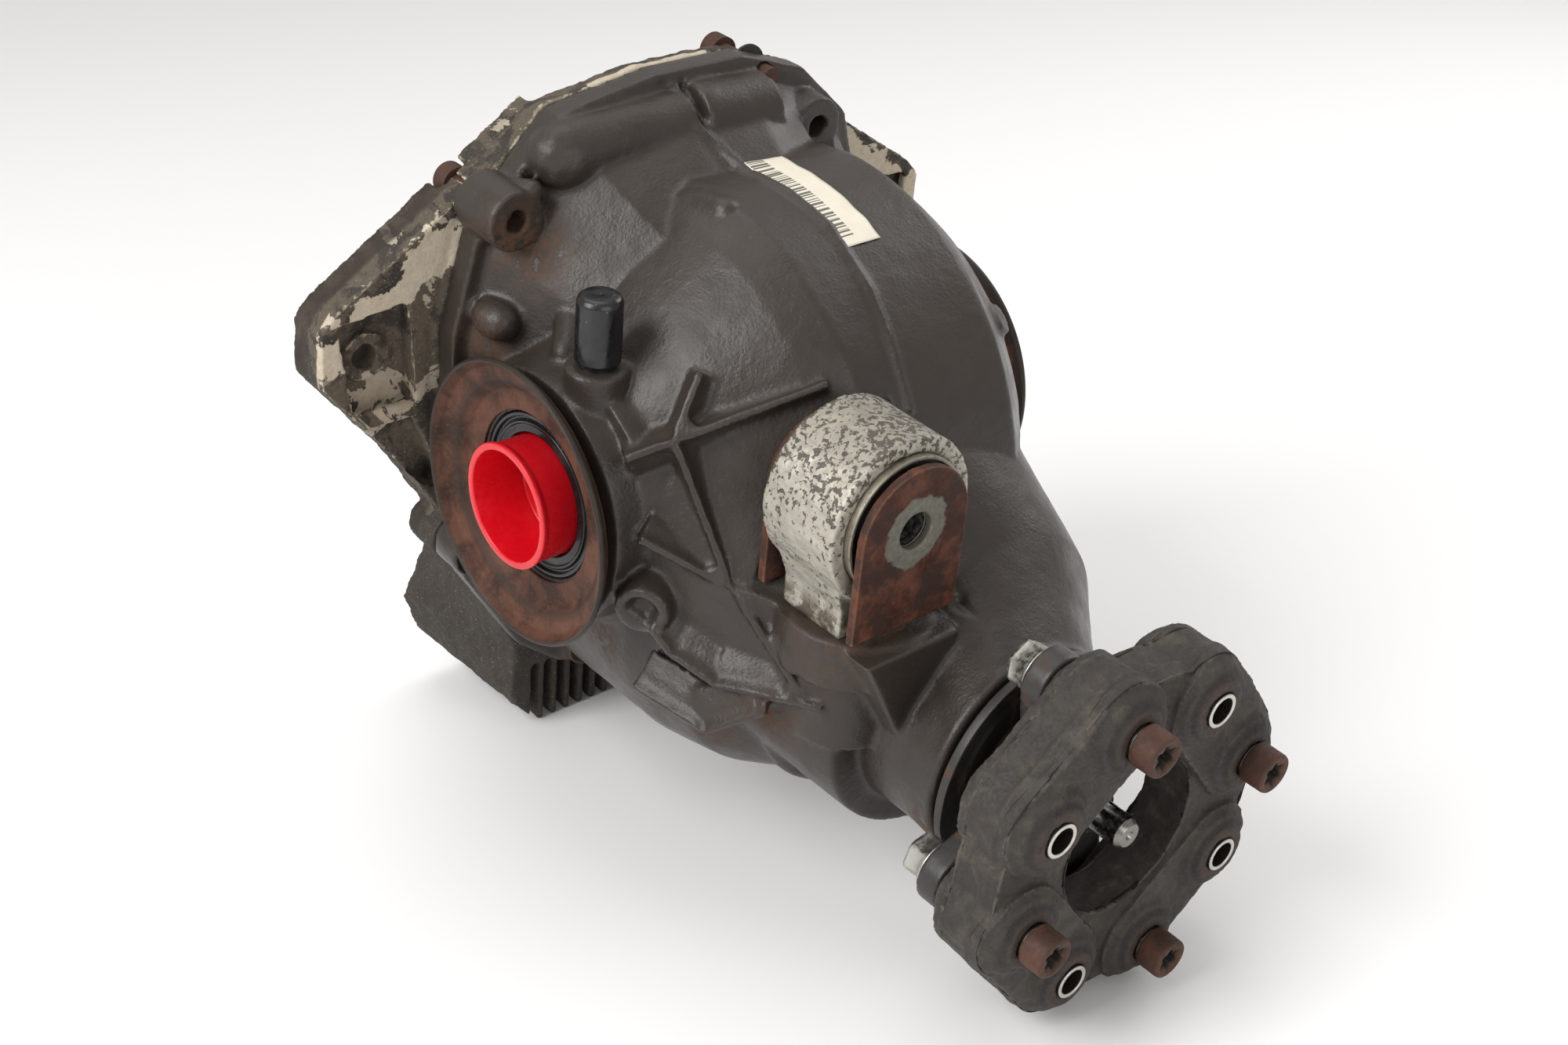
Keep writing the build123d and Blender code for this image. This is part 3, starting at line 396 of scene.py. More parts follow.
def disc_rubber():
    """Worn black rubber with dust, rust round the sleeves and bolts, and painted shade in the crease round
    each collar.
    """
    s = Shader("disc_rubber")
    tone = s.noise(22 * MM, 6)
    fine = s.noise(1.4 * MM, 7, 0.65)
    colour = s.mix(tone, (0.016, 0.0135, 0.0115), (0.038, 0.031, 0.026))
    dust = s.times(s.ramp(s.noise(10 * MM, 9, 0.65, 0.6), 0.45, 0.68), s.ramp(fine, 0.35, 0.6))
    colour = s.mix(s.times(dust, 0.55), colour, (0.105, 0.085, 0.062))
    worn = s.edge(0.515, 0.56)
    colour = s.mix(s.times(worn, 0.5), colour, (0.12, 0.10, 0.08))
    for angle in SLEEVE_ANGLES + BOLT_ANGLES:
        radius = s.distance("Y", around(angle))
        ring = s.ramp(radius, 8.5 * MM, 14 * MM, 1.0, 0.0)
        stain = s.times(ring, s.ramp(s.noise(4 * MM, 8, 0.65), 0.35, 0.6))
        colour = s.mix(s.times(stain, 0.7), colour, (0.075, 0.034, 0.018))
        # Painted shade: a near-black ring in the crease at the foot of each collar.
        groove_shade = s.window(radius, 11.2 * MM, 12.0 * MM, 12.6 * MM, 14 * MM)
        colour = s.mix(s.times(groove_shade, 0.6), colour, (0.008, 0.007, 0.006))
    face = s.ramp(s.place("Y"), disc_low.y + 1.5 * MM, disc_low.y + 5 * MM, 1.0, 0.0)
    colour = s.mix(s.times(face, 0.45), colour, (0.012, 0.0095, 0.0085))
    s.set("Base Color", colour)
    s.set("Roughness", s.ramp(fine, 0.3, 0.7, 0.6, 0.85))
    s.bump(fine, 0.18 * MM)
    s.bump(s.noise(7 * MM, 6), 0.4 * MM)
    return s.material


def steel(name, dark, light, rough=0.35, grime=0.3):
    """Bare or plated steel with patches of grime."""
    s = Shader(name, metallic=1.0)
    fine = s.noise(2 * MM, 6, 0.6)
    colour = s.mix(fine, dark, light)
    dirt = s.times(s.ramp(s.noise(4 * MM, 8, 0.65), 0.5, 0.65), grime)
    colour = s.mix(dirt, colour, (0.05, 0.035, 0.02))
    s.set("Base Color", colour)
    s.set("Metallic", s.math("SUBTRACT", 1.0, dirt))
    s.set("Roughness", s.ramp(fine, 0.3, 0.7, rough - 0.08, rough + 0.12))
    s.bump(fine, 0.05 * MM)
    return s.material


def rust_bolt():
    """Rusty bolt with painted shade inside its drive socket."""
    s, colour = rust_sheet("coupling_bolt_rust")
    colour = s.mix(s.noise(2.4 * MM, 7), colour, (0.045, 0.021, 0.014))
    nearest = s.distance("Y", around(BOLT_ANGLES[0]))
    for angle in BOLT_ANGLES[1:]:
        nearest = s.math("MINIMUM", nearest, s.distance("Y", around(angle)))
    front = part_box("coupling_bolts")[0].y
    # Painted shade: the drive socket is painted near-black inside.
    socket = s.times(s.ramp(nearest, 5.0 * MM, 5.3 * MM, 1.0, 0.0),
                     s.ramp(s.place("Y"), front + 0.5 * MM, front + 2 * MM))
    s.set("Base Color", s.mix(socket, colour, (0.006, 0.004, 0.003)))
    s.set("Specular IOR Level", 0.35)
    return s.material


def sleeve_steel():
    """Steel tube, bright at its ends; elsewhere near-black, as painted shade inside the bore."""
    s = Shader("sleeve_steel")
    fine = s.noise(1.5 * MM, 6)
    bright = s.mix(fine, (0.42, 0.41, 0.38), (0.70, 0.69, 0.65))
    front = s.ramp(s.place("Y"), disc_low.y - 0.9 * MM, disc_low.y - 0.5 * MM, 1.0, 0.0)
    front = s.math("MAXIMUM", front, s.ramp(s.place("Y"), disc_high.y - 1 * MM, disc_high.y, 0, 1))
    # Painted shade: away from its ends the tube is near-black, standing for the shade inside its bore.
    colour = s.mix(front, (0.012, 0.009, 0.007), bright)
    s.set("Base Color", colour)
    s.set("Metallic", s.times(front, 0.9))
    s.set("Roughness", s.ramp(fine, 0.3, 0.7, 0.25, 0.45))
    s.bump(fine, 0.06 * MM)
    return s.material


def flange_steel():
    s = Shader("flange_steel")
    fine = s.noise(2 * MM, 7, 0.6)
    colour = s.mix(s.noise(15 * MM, 6), (0.010, 0.010, 0.010), (0.035, 0.032, 0.028))
    rust = s.ramp(s.noise(8 * MM, 8, 0.65), 0.54, 0.64)
    colour = s.mix(s.times(rust, 0.6), colour, (0.09, 0.042, 0.024))
    s.set("Base Color", colour)
    s.set("Roughness", s.mix_value(rust, 0.42, 0.75))
    s.bump(fine, 0.1 * MM)
    return s.material


def breather_black():
    s = Shader("breather_black", roughness=0.16)
    chip = s.ramp(s.noise(3.5 * MM, 7, 0.6), 0.66, 0.70)
    s.set("Base Color", s.mix(chip, (0.007, 0.007, 0.008), (0.10, 0.10, 0.10)))
    s.set("Roughness", s.ramp(s.noise(5 * MM, 6), 0.35, 0.65, 0.16, 0.38))
    s.bump(s.noise(4 * MM, 4), 0.12 * MM)
    return s.material


def label_paper():
    """Cream paper with one band of plain bars."""
    s = Shader("label_paper", roughness=0.45)
    paper = s.mix(s.noise(9 * MM, 6), (0.62, 0.57, 0.46), (0.78, 0.73, 0.61))
    angle = s.math("ARCTAN2", s.place("Y"), s.place("Z"))
    node = s.tree.nodes.new("ShaderNodeTexNoise")
    node.noise_dimensions = "1D"
    node.inputs["Scale"].default_value = BARS_SCALE
    node.inputs["Detail"].default_value = 0
    s.plug(node.inputs["W"], angle)
    bars = s.ramp(node.outputs["Fac"], 0.495, 0.505)
    band = s.window(s.place("X"), BARS_START, BARS_START + 0.1 * MM, BARS_END, BARS_END + 0.1 * MM)
    span = s.window(angle, BARS_FIRST, BARS_FIRST + 0.002, BARS_LAST, BARS_LAST + 0.002)
    ink = s.times(s.times(bars, band), span)
    s.set("Base Color", s.mix(s.times(ink, 0.9), paper, (0.05, 0.05, 0.05)))
    s.bump(s.noise(12 * MM, 4), 0.15 * MM)
    return s.material


def plain_rubber(name):
    s = Shader(name, roughness=0.7)
    fine = s.noise(1.5 * MM, 6)
    s.set("Base Color", s.mix(s.noise(7 * MM, 6), (0.010, 0.010, 0.010), (0.045, 0.038, 0.030)))
    s.bump(fine, 0.12 * MM)
    return s.material


# Rust gathers round the bolts, the bush pad and the foot of the ribs: centre and reach.
RUST_PLACES = [
    ((-0.082, 0.032, 0.084), 26 * MM), ((-0.034, 0.040, -0.118), 22 * MM),
    ((-0.045, -0.120, -0.010), 30 * MM), ((-0.060, -0.100, -0.050), 22 * MM),
    ((-0.085, -0.020, -0.060), 20 * MM), ((-0.040, -0.165, -0.075), 18 * MM),
    ((-0.068, -0.075, -0.085), 22 * MM), ((0.043, 0.045, 0.120), 12 * MM),
    ((-0.094, 0.040, 0.045), 18 * MM),
]

MATERIALS = {
    "housing_paint": housing_paint(),
    "cover_alloy": cover_alloy(),
    "gasket": plain_rubber("gasket"),
    "zinc_bolt": rust_bolt(),
    "plug_steel": steel("plug_steel", (0.25, 0.24, 0.22), (0.45, 0.44, 0.42), 0.4),
    "shield_rust": shield_rust(),
    "seal_rubber": seal_rubber(),
    "plug_red": plug_red(),
    "bearing_steel": steel("bearing_steel", (0.45, 0.45, 0.46), (0.62, 0.62, 0.63), 0.22, 0.1),
    "shim_steel": steel("shim_steel", (0.35, 0.35, 0.36), (0.5, 0.5, 0.5), 0.35, 0.1),
    "gear_steel": steel("gear_steel", (0.20, 0.20, 0.21), (0.38, 0.38, 0.38), 0.28, 0.15),
    "case_iron": steel("case_iron", (0.10, 0.10, 0.10), (0.22, 0.22, 0.22), 0.45, 0.2),
    "pin_steel": steel("pin_steel", (0.16, 0.155, 0.145), (0.30, 0.29, 0.27), 0.22, 0.08),
    "crown_bolt_steel": steel("crown_bolt_steel", (0.05, 0.05, 0.05), (0.12, 0.12, 0.12), 0.4, 0.1),
    "flange_steel": flange_steel(),
    "flange_nut_steel": steel("flange_nut_steel", (0.20, 0.19, 0.16), (0.38, 0.36, 0.32), 0.45, 0.5),
    "disc_rubber": disc_rubber(),
    "sleeve_steel": sleeve_steel(),
    "coupling_bolt_rust": rust_bolt(),
    "coupling_nut_zinc": steel("coupling_nut_zinc", (0.40, 0.39, 0.35), (0.66, 0.65, 0.60), 0.36, 0.45),
    "breather_black": breather_black(),
    "label_paper": label_paper(),
    "bush_alloy": bush_alloy(),
    "stud_steel": steel("stud_steel", (0.25, 0.25, 0.25), (0.4, 0.4, 0.4), 0.4),
    "bush_shell_alloy": steel("bush_shell_alloy", (0.22, 0.20, 0.16), (0.42, 0.39, 0.32), 0.5, 0.6),
    "bush_rubber": plain_rubber("bush_rubber"),
    "bush_sleeve_steel": steel("bush_sleeve_steel", (0.16, 0.155, 0.14), (0.34, 0.33, 0.30), 0.45, 0.5),
    "plate_rust": plate_rust(),
}
SLOT_OF = {entry["node"]: entry["material_slot"] for entry in frame["record"]["subparts"]}
BODY_OF = {node: body for body, nodes in frame["record"]["behaviour"]["bodies"].items() for node in nodes}


# ------------------------------------------------------------------ mesh helpers
def make_piece(name, mesh, node):
    """Turns a mesh into a piece that stands for a CAD node."""
    piece = bpy.data.objects.new(name, mesh)
    bpy.context.scene.collection.objects.link(piece)
    slot = SLOT_OF[node]
    mesh.materials.clear()
    mesh.materials.append(MATERIALS[slot])
    mesh.polygons.foreach_set("use_smooth", [True] * len(mesh.polygons))
    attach(piece, BODY_OF[node])
    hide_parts(node)
    return piece


def axis_basis(axis):
    """Two directions across an axis; angles run from the first to the second."""
    return {"X": (X, Y, Z), "Y": (Y, Z, X), "Z": (Z, X, Y)}[axis]


def add_rings(bm, rings, origin, axis, segments=96, closed=False):
    """Skins rings of (distance, radius); a radius may be a function of the angle."""
    along, first, second = axis_basis(axis)
    origin = Vector(origin)
    loops = []
    for distance, radius in rings:
        loop = []
        for index in range(segments):
            angle = 2 * math.pi * index / segments
            r = radius(angle) if callable(radius) else radius
            point = origin + along * distance + (first * math.cos(angle) + second * math.sin(angle)) * r
            loop.append(bm.verts.new(point))
        loops.append(loop)
    pairs = list(zip(loops, loops[1:]))
    if closed:
        pairs.append((loops[-1], loops[0]))
    for low, high in pairs:
        for index in range(segments):
            after = (index + 1) % segments
            bm.faces.new((low[index], low[after], high[after], high[index]))
    if not closed:
        bm.faces.new(loops[0])
        bm.faces.new(loops[-1])


def rounded(points, radius, steps=4, closed=True):
    """Rounds each corner of an outline of (distance, radius) points."""
    result = []
    count = len(points)
    for index, point in enumerate(points):
        if not closed and index in (0, count - 1):
            result.append(point)
            continue
        before, here, after = Vector(points[index - 1]), Vector(point), Vector(points[(index + 1) % count])
        cut_in = min(radius, 0.45 * (before - here).length)
        cut_out = min(radius, 0.45 * (after - here).length)
        start = here + (before - here).normalized() * cut_in
        end = here + (after - here).normalized() * cut_out
        for step in range(steps + 1):
            t = step / steps
            place = start * (1 - t) ** 2 + here * 2 * t * (1 - t) + end * t * t
            result.append((place.x, place.y))
    return result


def finish_mesh(bm, name):
    bmesh.ops.recalc_face_normals(bm, faces=bm.faces)
    mesh = bpy.data.meshes.new(name)
    bm.to_mesh(mesh)
    bm.free()
    return mesh


def lathe(name, node, outline, origin, axis, corner=0.5 * MM, segments=128, closed=True):
    """Turned piece from an outline of (distance, radius) points."""
    bm = bmesh.new()
    add_rings(bm, rounded(outline, corner, 4, closed), origin, axis, segments, closed)
    return make_piece(name, finish_mesh(bm, name), node)


def capsule_chain(bm, points, radius):
    """Rounded rod through points, to be melted into a casting."""
    for a, b in zip(points, points[1:]):
        a, b = Vector(a), Vector(b)
        matrix = Matrix.Translation((a + b) / 2) @ (b - a).to_track_quat("Z", "Y").to_matrix().to_4x4()
        bmesh.ops.create_cone(bm, cap_ends=True, segments=16, radius1=radius, radius2=radius,
                              depth=(b - a).length, matrix=matrix)
    for point in points:
        bmesh.ops.create_icosphere(bm, subdivisions=2, radius=radius, matrix=Matrix.Translation(point))


def cast(name, node, voxel, extra=None, passes=10, keep=None, ripple=0.0, ripple_size=6 * MM,
         shape=None):
    """Casting: the CAD shape melted with its cast-on details, then softened and roughened.

    shape(points) moves the points of the melted mesh; keep(points) says how sharp each stays, 0 to 1."""
    bm = bmesh.new()
    bm.from_mesh(frame["nodes"][node].data)
    if extra:
        extra(bm)
    mesh = bpy.data.meshes.new(name)
    bm.to_mesh(mesh)
    bm.free()
    work = bpy.data.objects.new(name + "_work", mesh)
    bpy.context.scene.collection.objects.link(work)
    remesh = work.modifiers.new("remesh", "REMESH")
    remesh.mode = "VOXEL"
    remesh.voxel_size = voxel * 1.0
    graph = bpy.context.evaluated_depsgraph_get()
    result = bpy.data.meshes.new_from_object(work.evaluated_get(graph))
    bpy.data.objects.remove(work)
    if shape:
        points = read_points(result)
        shape(points)
        result.vertices.foreach_set("co", points.ravel())
    soften(result, passes, keep, ripple, ripple_size)
    return make_piece(name, result, node)


def read_points(mesh):
    points = np.empty(len(mesh.vertices) * 3, np.float64)
    mesh.vertices.foreach_get("co", points)
    return points.reshape(-1, 3)


def smoothstep(value, low, high):
    t = np.clip((value - low) / (high - low), 0, 1)
    return t * t * (3 - 2 * t)


def dent(points, centre, way, radius, depth):
    """Presses a round hollow in the direction way."""
    distance = np.linalg.norm(points - np.array(centre), axis=1)
    points += np.outer((1 - smoothstep(distance, radius * 0.55, radius)) * depth, np.array(way))


SMOOTH_IN, SMOOTH_OUT = 0.55, -0.28


def soften(mesh, passes, keep, ripple, ripple_size):
    """Smooths a mesh by neighbour averaging without shrinking it, then moves it in and out by noise."""
    points = read_points(mesh)
    count = len(points)
    pairs = np.empty(len(mesh.edges) * 2, np.int64)
    mesh.edges.foreach_get("vertices", pairs)
    a, b = pairs.reshape(-1, 2).T
    links = np.bincount(np.concatenate((a, b)), minlength=count)[:, None]
    hold = np.zeros(count) if keep is None else np.clip(keep(points), 0, 1)
    move = (1 - hold)[:, None]
    for turn in range(passes * 2):
        total = np.empty_like(points)
        for column in range(3):
            total[:, column] = (np.bincount(a, points[b, column], count)
                                + np.bincount(b, points[a, column], count))
        step = SMOOTH_IN if turn % 2 == 0 else SMOOTH_OUT
        points += (total / links - points) * step * move
    mesh.vertices.foreach_set("co", points.ravel())
    mesh.update()
    if ripple:
        normals = np.empty(count * 3, np.float64)
        mesh.vertices.foreach_get("normal", normals)
        normals = normals.reshape(-1, 3)
        heights = np.array([noise.fractal(Vector(p) / ripple_size, 0.8, 2.0, 4) for p in points])
        points += normals * (heights * ripple * (1 - hold))[:, None]
        mesh.vertices.foreach_set("co", points.ravel())
        mesh.update()


# ------------------------------------------------------------------ housing
def ring_bead(bm, y, radius, thickness):
    """Cast bead round the pinion axis."""
    section = []
    for step in range(12):
        a = 2 * math.pi * step / 12
        section.append((y + thickness * math.cos(a), radius + thickness * math.sin(a)))
    add_rings(bm, section, (0, 0, PINION.z), "Y", 96, True)


# Swelling above the right output, and the raised line where the mould parted.
OUTPUT_ARC = [
    (-0.080, 0.007, 0.052), (-0.068, 0.020, 0.061), (-0.054, 0.029, 0.071), (-0.040, 0.026, 0.083),
    (-0.028, 0.020, 0.093), (-0.022, 0.006, 0.099), (-0.021, -0.008, 0.101),
]
PARTING_LINE = [
    (-0.006, 0.059, 0.1295), (-0.002, 0.050, 0.1255), (-0.003, 0.037, 0.1165),
    (0.001, 0.027, 0.110), (0.004, 0.010, 0.1045), (0.005, -0.012, 0.1045),
    (0.006, -0.034, 0.0995), (0.004, -0.060, 0.0862), (0.002, -0.075, 0.0738),
    (0.001, -0.091, 0.052),
]
# Knobs and webs beside the joint face: the points of each rod and its radius.
FACE_RODS = [
    ([(-0.088, 0.036, 0.054), (-0.089, 0.042, 0.054)], 7.5 * MM),
    ([(-0.076, 0.056, 0.098), (-0.073, 0.040, 0.1025)], 4 * MM),
    ([(-0.057, 0.046, 0.110), (-0.056, 0.046, 0.110)], 13 * MM),
    ([(-0.045, 0.045, 0.097), (-0.054, 0.050, 0.104)], 9 * MM),
]
# Beads round the nose: place along the pinion axis, radius and thickness.
NOSE_BEADS = [(-0.103, 48 * MM, 5 * MM), (-0.090, 53.5 * MM, 4.5 * MM), (NOSE_LIP_Y, 43 * MM, 1.6 * MM)]
# Cupped boss beside the output tube: centre of its face and the way it looks.
CUP_FACE = (-0.0915, -0.0600, -0.0195)
CUP_WAY = (-0.80, -0.58, -0.153)
CUP_ROOT_R, CUP_FACE_R, CUP_LENGTH = 11.5 * MM, 10.5 * MM, 24 * MM
CUP_HOLLOW_R, CUP_DEPTH = 7 * MM, 5 * MM
# Crests of the cast webs on the flank.
FLANK_WEBS = [
    [(-0.092, -0.046, 0.038), (-0.031, -0.081, 0.067)],
    [(-0.063, -0.049, 0.066), (-0.077, -0.054, 0.045), (-0.070, -0.083, -0.004),
     (-0.063, -0.119, -0.034)],
    [(-0.092, -0.057, 0.010), (-0.073, -0.077, -0.003), (-0.059, -0.102, -0.007)],
    [(-0.092, -0.057, -0.020), (-0.087, -0.072, -0.033), (-0.080, -0.090, -0.039),
     (-0.060, -0.125, -0.036)],
    [(-0.090, -0.055, -0.057), (-0.082, -0.089, -0.060), (-0.071, -0.109, -0.043)],
]
WEB_STRETCHES = [pair for chain in FLANK_WEBS for pair in zip(chain, chain[1:])]
# A web's root runs from the first depth and half width to the second.
WEB_ROOT = [(2.5 * MM, 1.8 * MM), (15 * MM, 8.5 * MM)]
WEB_PINCH, WEB_HALF = 0.48, 4.2 * MM


def web_frame(start, end):
    """Ends of one stretch of a web, with unit vectors along, across and into the body."""
    a, b = Vector(start), Vector(end)
    along = (b - a).normalized()
    inward = -(a + b).normalized()
    across = along.cross(inward).normalized()
    square = across.cross(along)
    return a, b, along, across, square * (1 if square.dot(inward) > 0 else -1)


def flare_web(bm, start, end):
    """Sloped root of a cast web."""
    a, b, _, across, inward = web_frame(start, end)
    corners = []
    for point in (a, b):
        for depth, half in WEB_ROOT:
            for side in (-1, 1):
                corners.append(bm.verts.new(point + inward * depth + across * half * side))
    bmesh.ops.convex_hull(bm, input=corners)


def pinch_web(points, start, end):
    """Thins the crest of a cast web."""
    a, b, along, across, inward = web_frame(start, end)
    offset = points - np.array(a)
    run = offset @ np.array(along)
    side = offset @ np.array(across)
    depth = offset @ np.array(inward)
    inside = (run > -1 * MM) & (run < (b - a).length + 1 * MM)
    inside &= (np.abs(side) < WEB_HALF) & (depth > -4 * MM)
    share = WEB_PINCH * (1 - smoothstep(depth, 1 * MM, 8 * MM)) * inside
    points -= np.outer(side * share, np.array(across))


def housing_details(bm):
    """Cast-on beads, knobs and lips that the CAD shape leaves out."""
    for start, end in WEB_STRETCHES:
        flare_web(bm, start, end)
    way = Vector(CUP_WAY)
    turn = way.to_track_quat("Z", "Y").to_matrix().to_4x4()
    middle = Vector(CUP_FACE) - way * CUP_LENGTH / 2
    bmesh.ops.create_cone(bm, cap_ends=True, segments=48, radius1=CUP_ROOT_R, radius2=CUP_FACE_R,
                          depth=CUP_LENGTH, matrix=Matrix.Translation(middle) @ turn)
    capsule_chain(bm, OUTPUT_ARC, 5.5 * MM)
    capsule_chain(bm, PARTING_LINE, 2.0 * MM)
    for points, radius in FACE_RODS:
        capsule_chain(bm, points, radius)
    for y, radius, thickness in NOSE_BEADS:
        ring_bead(bm, y, radius, thickness)


def housing_shape(points):
    """Hollow in the cupped boss, and thin crests on the webs."""
    dent(points, CUP_FACE, tuple(-v for v in CUP_WAY), CUP_HOLLOW_R, CUP_DEPTH)
    for start, end in WEB_STRETCHES:
        pinch_web(points, start, end)


def housing_keep(points):
    """Machined faces stay crisp: the joint face, the tube ends and the nose mouth."""
    x, y, _ = points.T
    hold = np.zeros(len(points))
    hold[y > SEAM_Y - 1.2 * MM] = 0.9
    hold[np.abs(x) > housing_high.x * 0.99] = 0.9
    hold[y < housing_low.y + 3 * MM] = 0.8
    return hold


def build_housing():
    cast("housing_casting", "carrier_housing", 1.2 * MM, housing_details, 4, housing_keep, 0.2 * MM, 14 * MM,
         housing_shape)


def cover_keep(points):
    """The joint face and the feet of the fins stay crisp."""
    hold = np.zeros(len(points))
    hold[points[:, 1] < cover_low.y + 1.2 * MM] = 0.8
    hold[points[:, 2] < cover_low.z + 1.0 * MM] = 0.7
    return hold


def build_cover():
    cast("cover_casting", "rear_cover", 1.15 * MM, None, 2, cover_keep, 0.6 * MM, 6 * MM)


# ------------------------------------------------------------------ output sides
def mirrored(outline, side):
    return [(side * distance, radius) for distance, radius in outline]


def build_outputs():
    """Shield, seal and plug on each side; outlines are (distance from the middle, radius)."""
    outer = shield_high.x
    rim = shield_high.z
    base = shield_low.x
    shield = [
        (base, 33.5 * MM), (base, 42.5 * MM), (base + 4.0 * MM, 46.5 * MM), (base + 5.6 * MM, 52.0 * MM),
        (outer - 2.4 * MM, rim - 0.2 * MM), (outer - 1.2 * MM, rim), (outer, rim - 0.6 * MM),
        (outer - 0.3 * MM, rim - 1.7 * MM), (outer - 2.8 * MM, rim - 3.2 * MM), (base + 6.9 * MM, 51.4 * MM),
        (base + 5.4 * MM, 45.8 * MM), (base + 1.4 * MM, 41.6 * MM), (base + 1.4 * MM, 33.5 * MM),
    ]
    low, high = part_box("left_output_seal")
    seal = [
        (low.x, high.z), (low.x, 28 * MM), (low.x + 2 * MM, 25.2 * MM), (high.x - 3.5 * MM, 23.62 * MM),
        (high.x - 2.0 * MM, 24.4 * MM), (high.x - 1.2 * MM, 23.7 * MM), (high.x - 0.4 * MM, 24.6 * MM),
        (high.x - 1.0 * MM, 27.2 * MM), (high.x - 0.2 * MM, 28.0 * MM), (high.x - 0.2 * MM, 28.8 * MM),
        (high.x - 1.4 * MM, 29.4 * MM), (high.x - 1.4 * MM, 30.2 * MM), (high.x, 30.8 * MM),
        (high.x, 32.1 * MM), (high.x - 0.6 * MM, high.z),
    ]
    low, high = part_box("left_transport_plug")
    bore = 23.5 * MM
    plug = [
        (low.x, 0.2 * MM), (low.x, 21 * MM), (low.x + 2 * MM, bore), (high.x - 3 * MM, bore),
        (high.x - 1.6 * MM, high.z), (high.x, high.z), (high.x, bore - 1.9 * MM),
        (low.x + 2.4 * MM, bore - 3.2 * MM), (low.x + 2.0 * MM, 12 * MM), (low.x + 3.0 * MM, 11 * MM),
        (low.x + 3.0 * MM, 0.2 * MM),
    ]
    turned = [
        ("shield_sheet", "output_shield", shield, 0.9 * MM), ("seal_ring", "output_seal", seal, 0.35 * MM),
        ("plug_cup", "transport_plug", plug, 0.7 * MM),
    ]
    for side_name, side in (("right", -1), ("left", 1)):
        for piece, node, outline, corner in turned:
            lathe(f"{side_name}_{piece}", f"{side_name}_{node}", mirrored(outline, side), (0, 0, 0), "X",
                  corner, 160)


# ------------------------------------------------------------------ flexible coupling
def disc_shape(points):
    """Collars round the sleeves, a lower face between them and a moulding line round the rim."""
    nearest = np.full(len(points), 1.0)
    for angle in SLEEVE_ANGLES + BOLT_ANGLES:
        centre = around(angle)
        nearest = np.minimum(nearest, np.hypot(points[:, 0] - centre.x, points[:, 2] - centre.z))
    radius = np.hypot(points[:, 0], points[:, 2] - PINION.z)
    drop = 2.2 * MM * smoothstep(nearest, COLLAR_R, COLLAR_R + 1 * MM)
    drop += 2.6 * MM * smoothstep(nearest, LOBE_R, LOBE_R + 1.4 * MM)
    drop += np.clip(radius - RIM_R, 0, None) * 0.35
    middle = (disc_low.y + disc_high.y) / 2
    front = points[:, 1] < disc_low.y + 6 * MM
    back = points[:, 1] > disc_high.y - 6 * MM
    points[front, 1] += drop[front]
    points[back, 1] -= drop[back] * 0.8
    line = 1 - smoothstep(np.abs(points[:, 1] - middle + 4 * MM), 0.5 * MM, 1.8 * MM)
    outward = (radius > 58 * MM) * line * 0.8 * MM
    points[:, 0] += points[:, 0] / radius * outward
    points[:, 2] += (points[:, 2] - PINION.z) / radius * outward


def build_disc():
    cast("disc_rubber_body", "flex_disc", 1.0 * MM, None, 3, None, 0.45 * MM, 9 * MM, disc_shape)


def build_coupling():
    """Sleeves in the disc, bolts with star sockets and flanged nuts."""
    bm = bmesh.new()
    low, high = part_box("flex_disc_sleeves")
    for angle in SLEEVE_ANGLES + BOLT_ANGLES:
        bore = BOLTED_BORE if angle in BOLT_ANGLES else FREE_BORE
        outline = [(low.y, bore), (low.y, SLEEVE_R), (high.y, SLEEVE_R), (high.y, bore)]
        add_rings(bm, rounded(outline, 0.5 * MM, 3), around(angle), "Y", 64, True)
    make_piece("sleeve_set", finish_mesh(bm, "sleeve_set"), "flex_disc_sleeves")

    low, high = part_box("coupling_bolts")
    bm = bmesh.new()
    head = low.y
    rings = [
        (high.y, 4.6 * MM), (high.y - 0.8 * MM, BOLT_R), (head + BOLT_HEAD, BOLT_R),
        (head + BOLT_HEAD, 7.2 * MM), (head + 9.6 * MM, 7.9 * MM), (head + 8.9 * MM, 8.0 * MM),
        (head + 1.0 * MM, 7.9 * MM), (head + 0.3 * MM, 7.6 * MM), (head, 6.9 * MM),
        (head + 0.05 * MM, 5.9 * MM), (head + 0.7 * MM, star_radius), (head + 5.6 * MM, star_radius),
        (head + 6.4 * MM, 1.0 * MM),
    ]
    for angle in BOLT_ANGLES:
        add_rings(bm, rings, around(angle), "Y", 72)
    make_piece("coupling_bolt_set", finish_mesh(bm, "coupling_bolt_set"), "coupling_bolts")

    low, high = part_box("coupling_nuts")
    bm = bmesh.new()
    for index, angle in enumerate(BOLT_ANGLES):
        hexagon = hex_radius(20 * index)
        clipped = hex_radius(20 * index, NUT_CORNER)
        rings = [
            (low.y, BOLT_R), (low.y, 9.6 * MM), (low.y + 0.5 * MM, 10.0 * MM), (low.y + 1.4 * MM, 9.8 * MM),
            (low.y + 2.2 * MM, hexagon), (high.y - 1.2 * MM, hexagon), (high.y, clipped),
            (high.y, 6.2 * MM), (high.y - 0.8 * MM, BOLT_R),
        ]
        add_rings(bm, rings, around(angle), "Y", 72, True)
    make_piece("coupling_nut_set", finish_mesh(bm, "coupling_nut_set"), "coupling_nuts")


def star_radius(angle):
    """Radius of the lobed drive socket."""
    return STAR_R + STAR_DEPTH * math.cos(STAR_LOBES * angle)


def hex_radius(turned, largest=1.0):
    """Radius of a nut's hexagon turned by some degrees, its corners cut at largest."""
    def radius(angle):
        local = (angle + math.radians(turned)) % (math.pi / 3) - math.pi / 6
        return min(NUT_FLAT / math.cos(local), largest)
    return radius


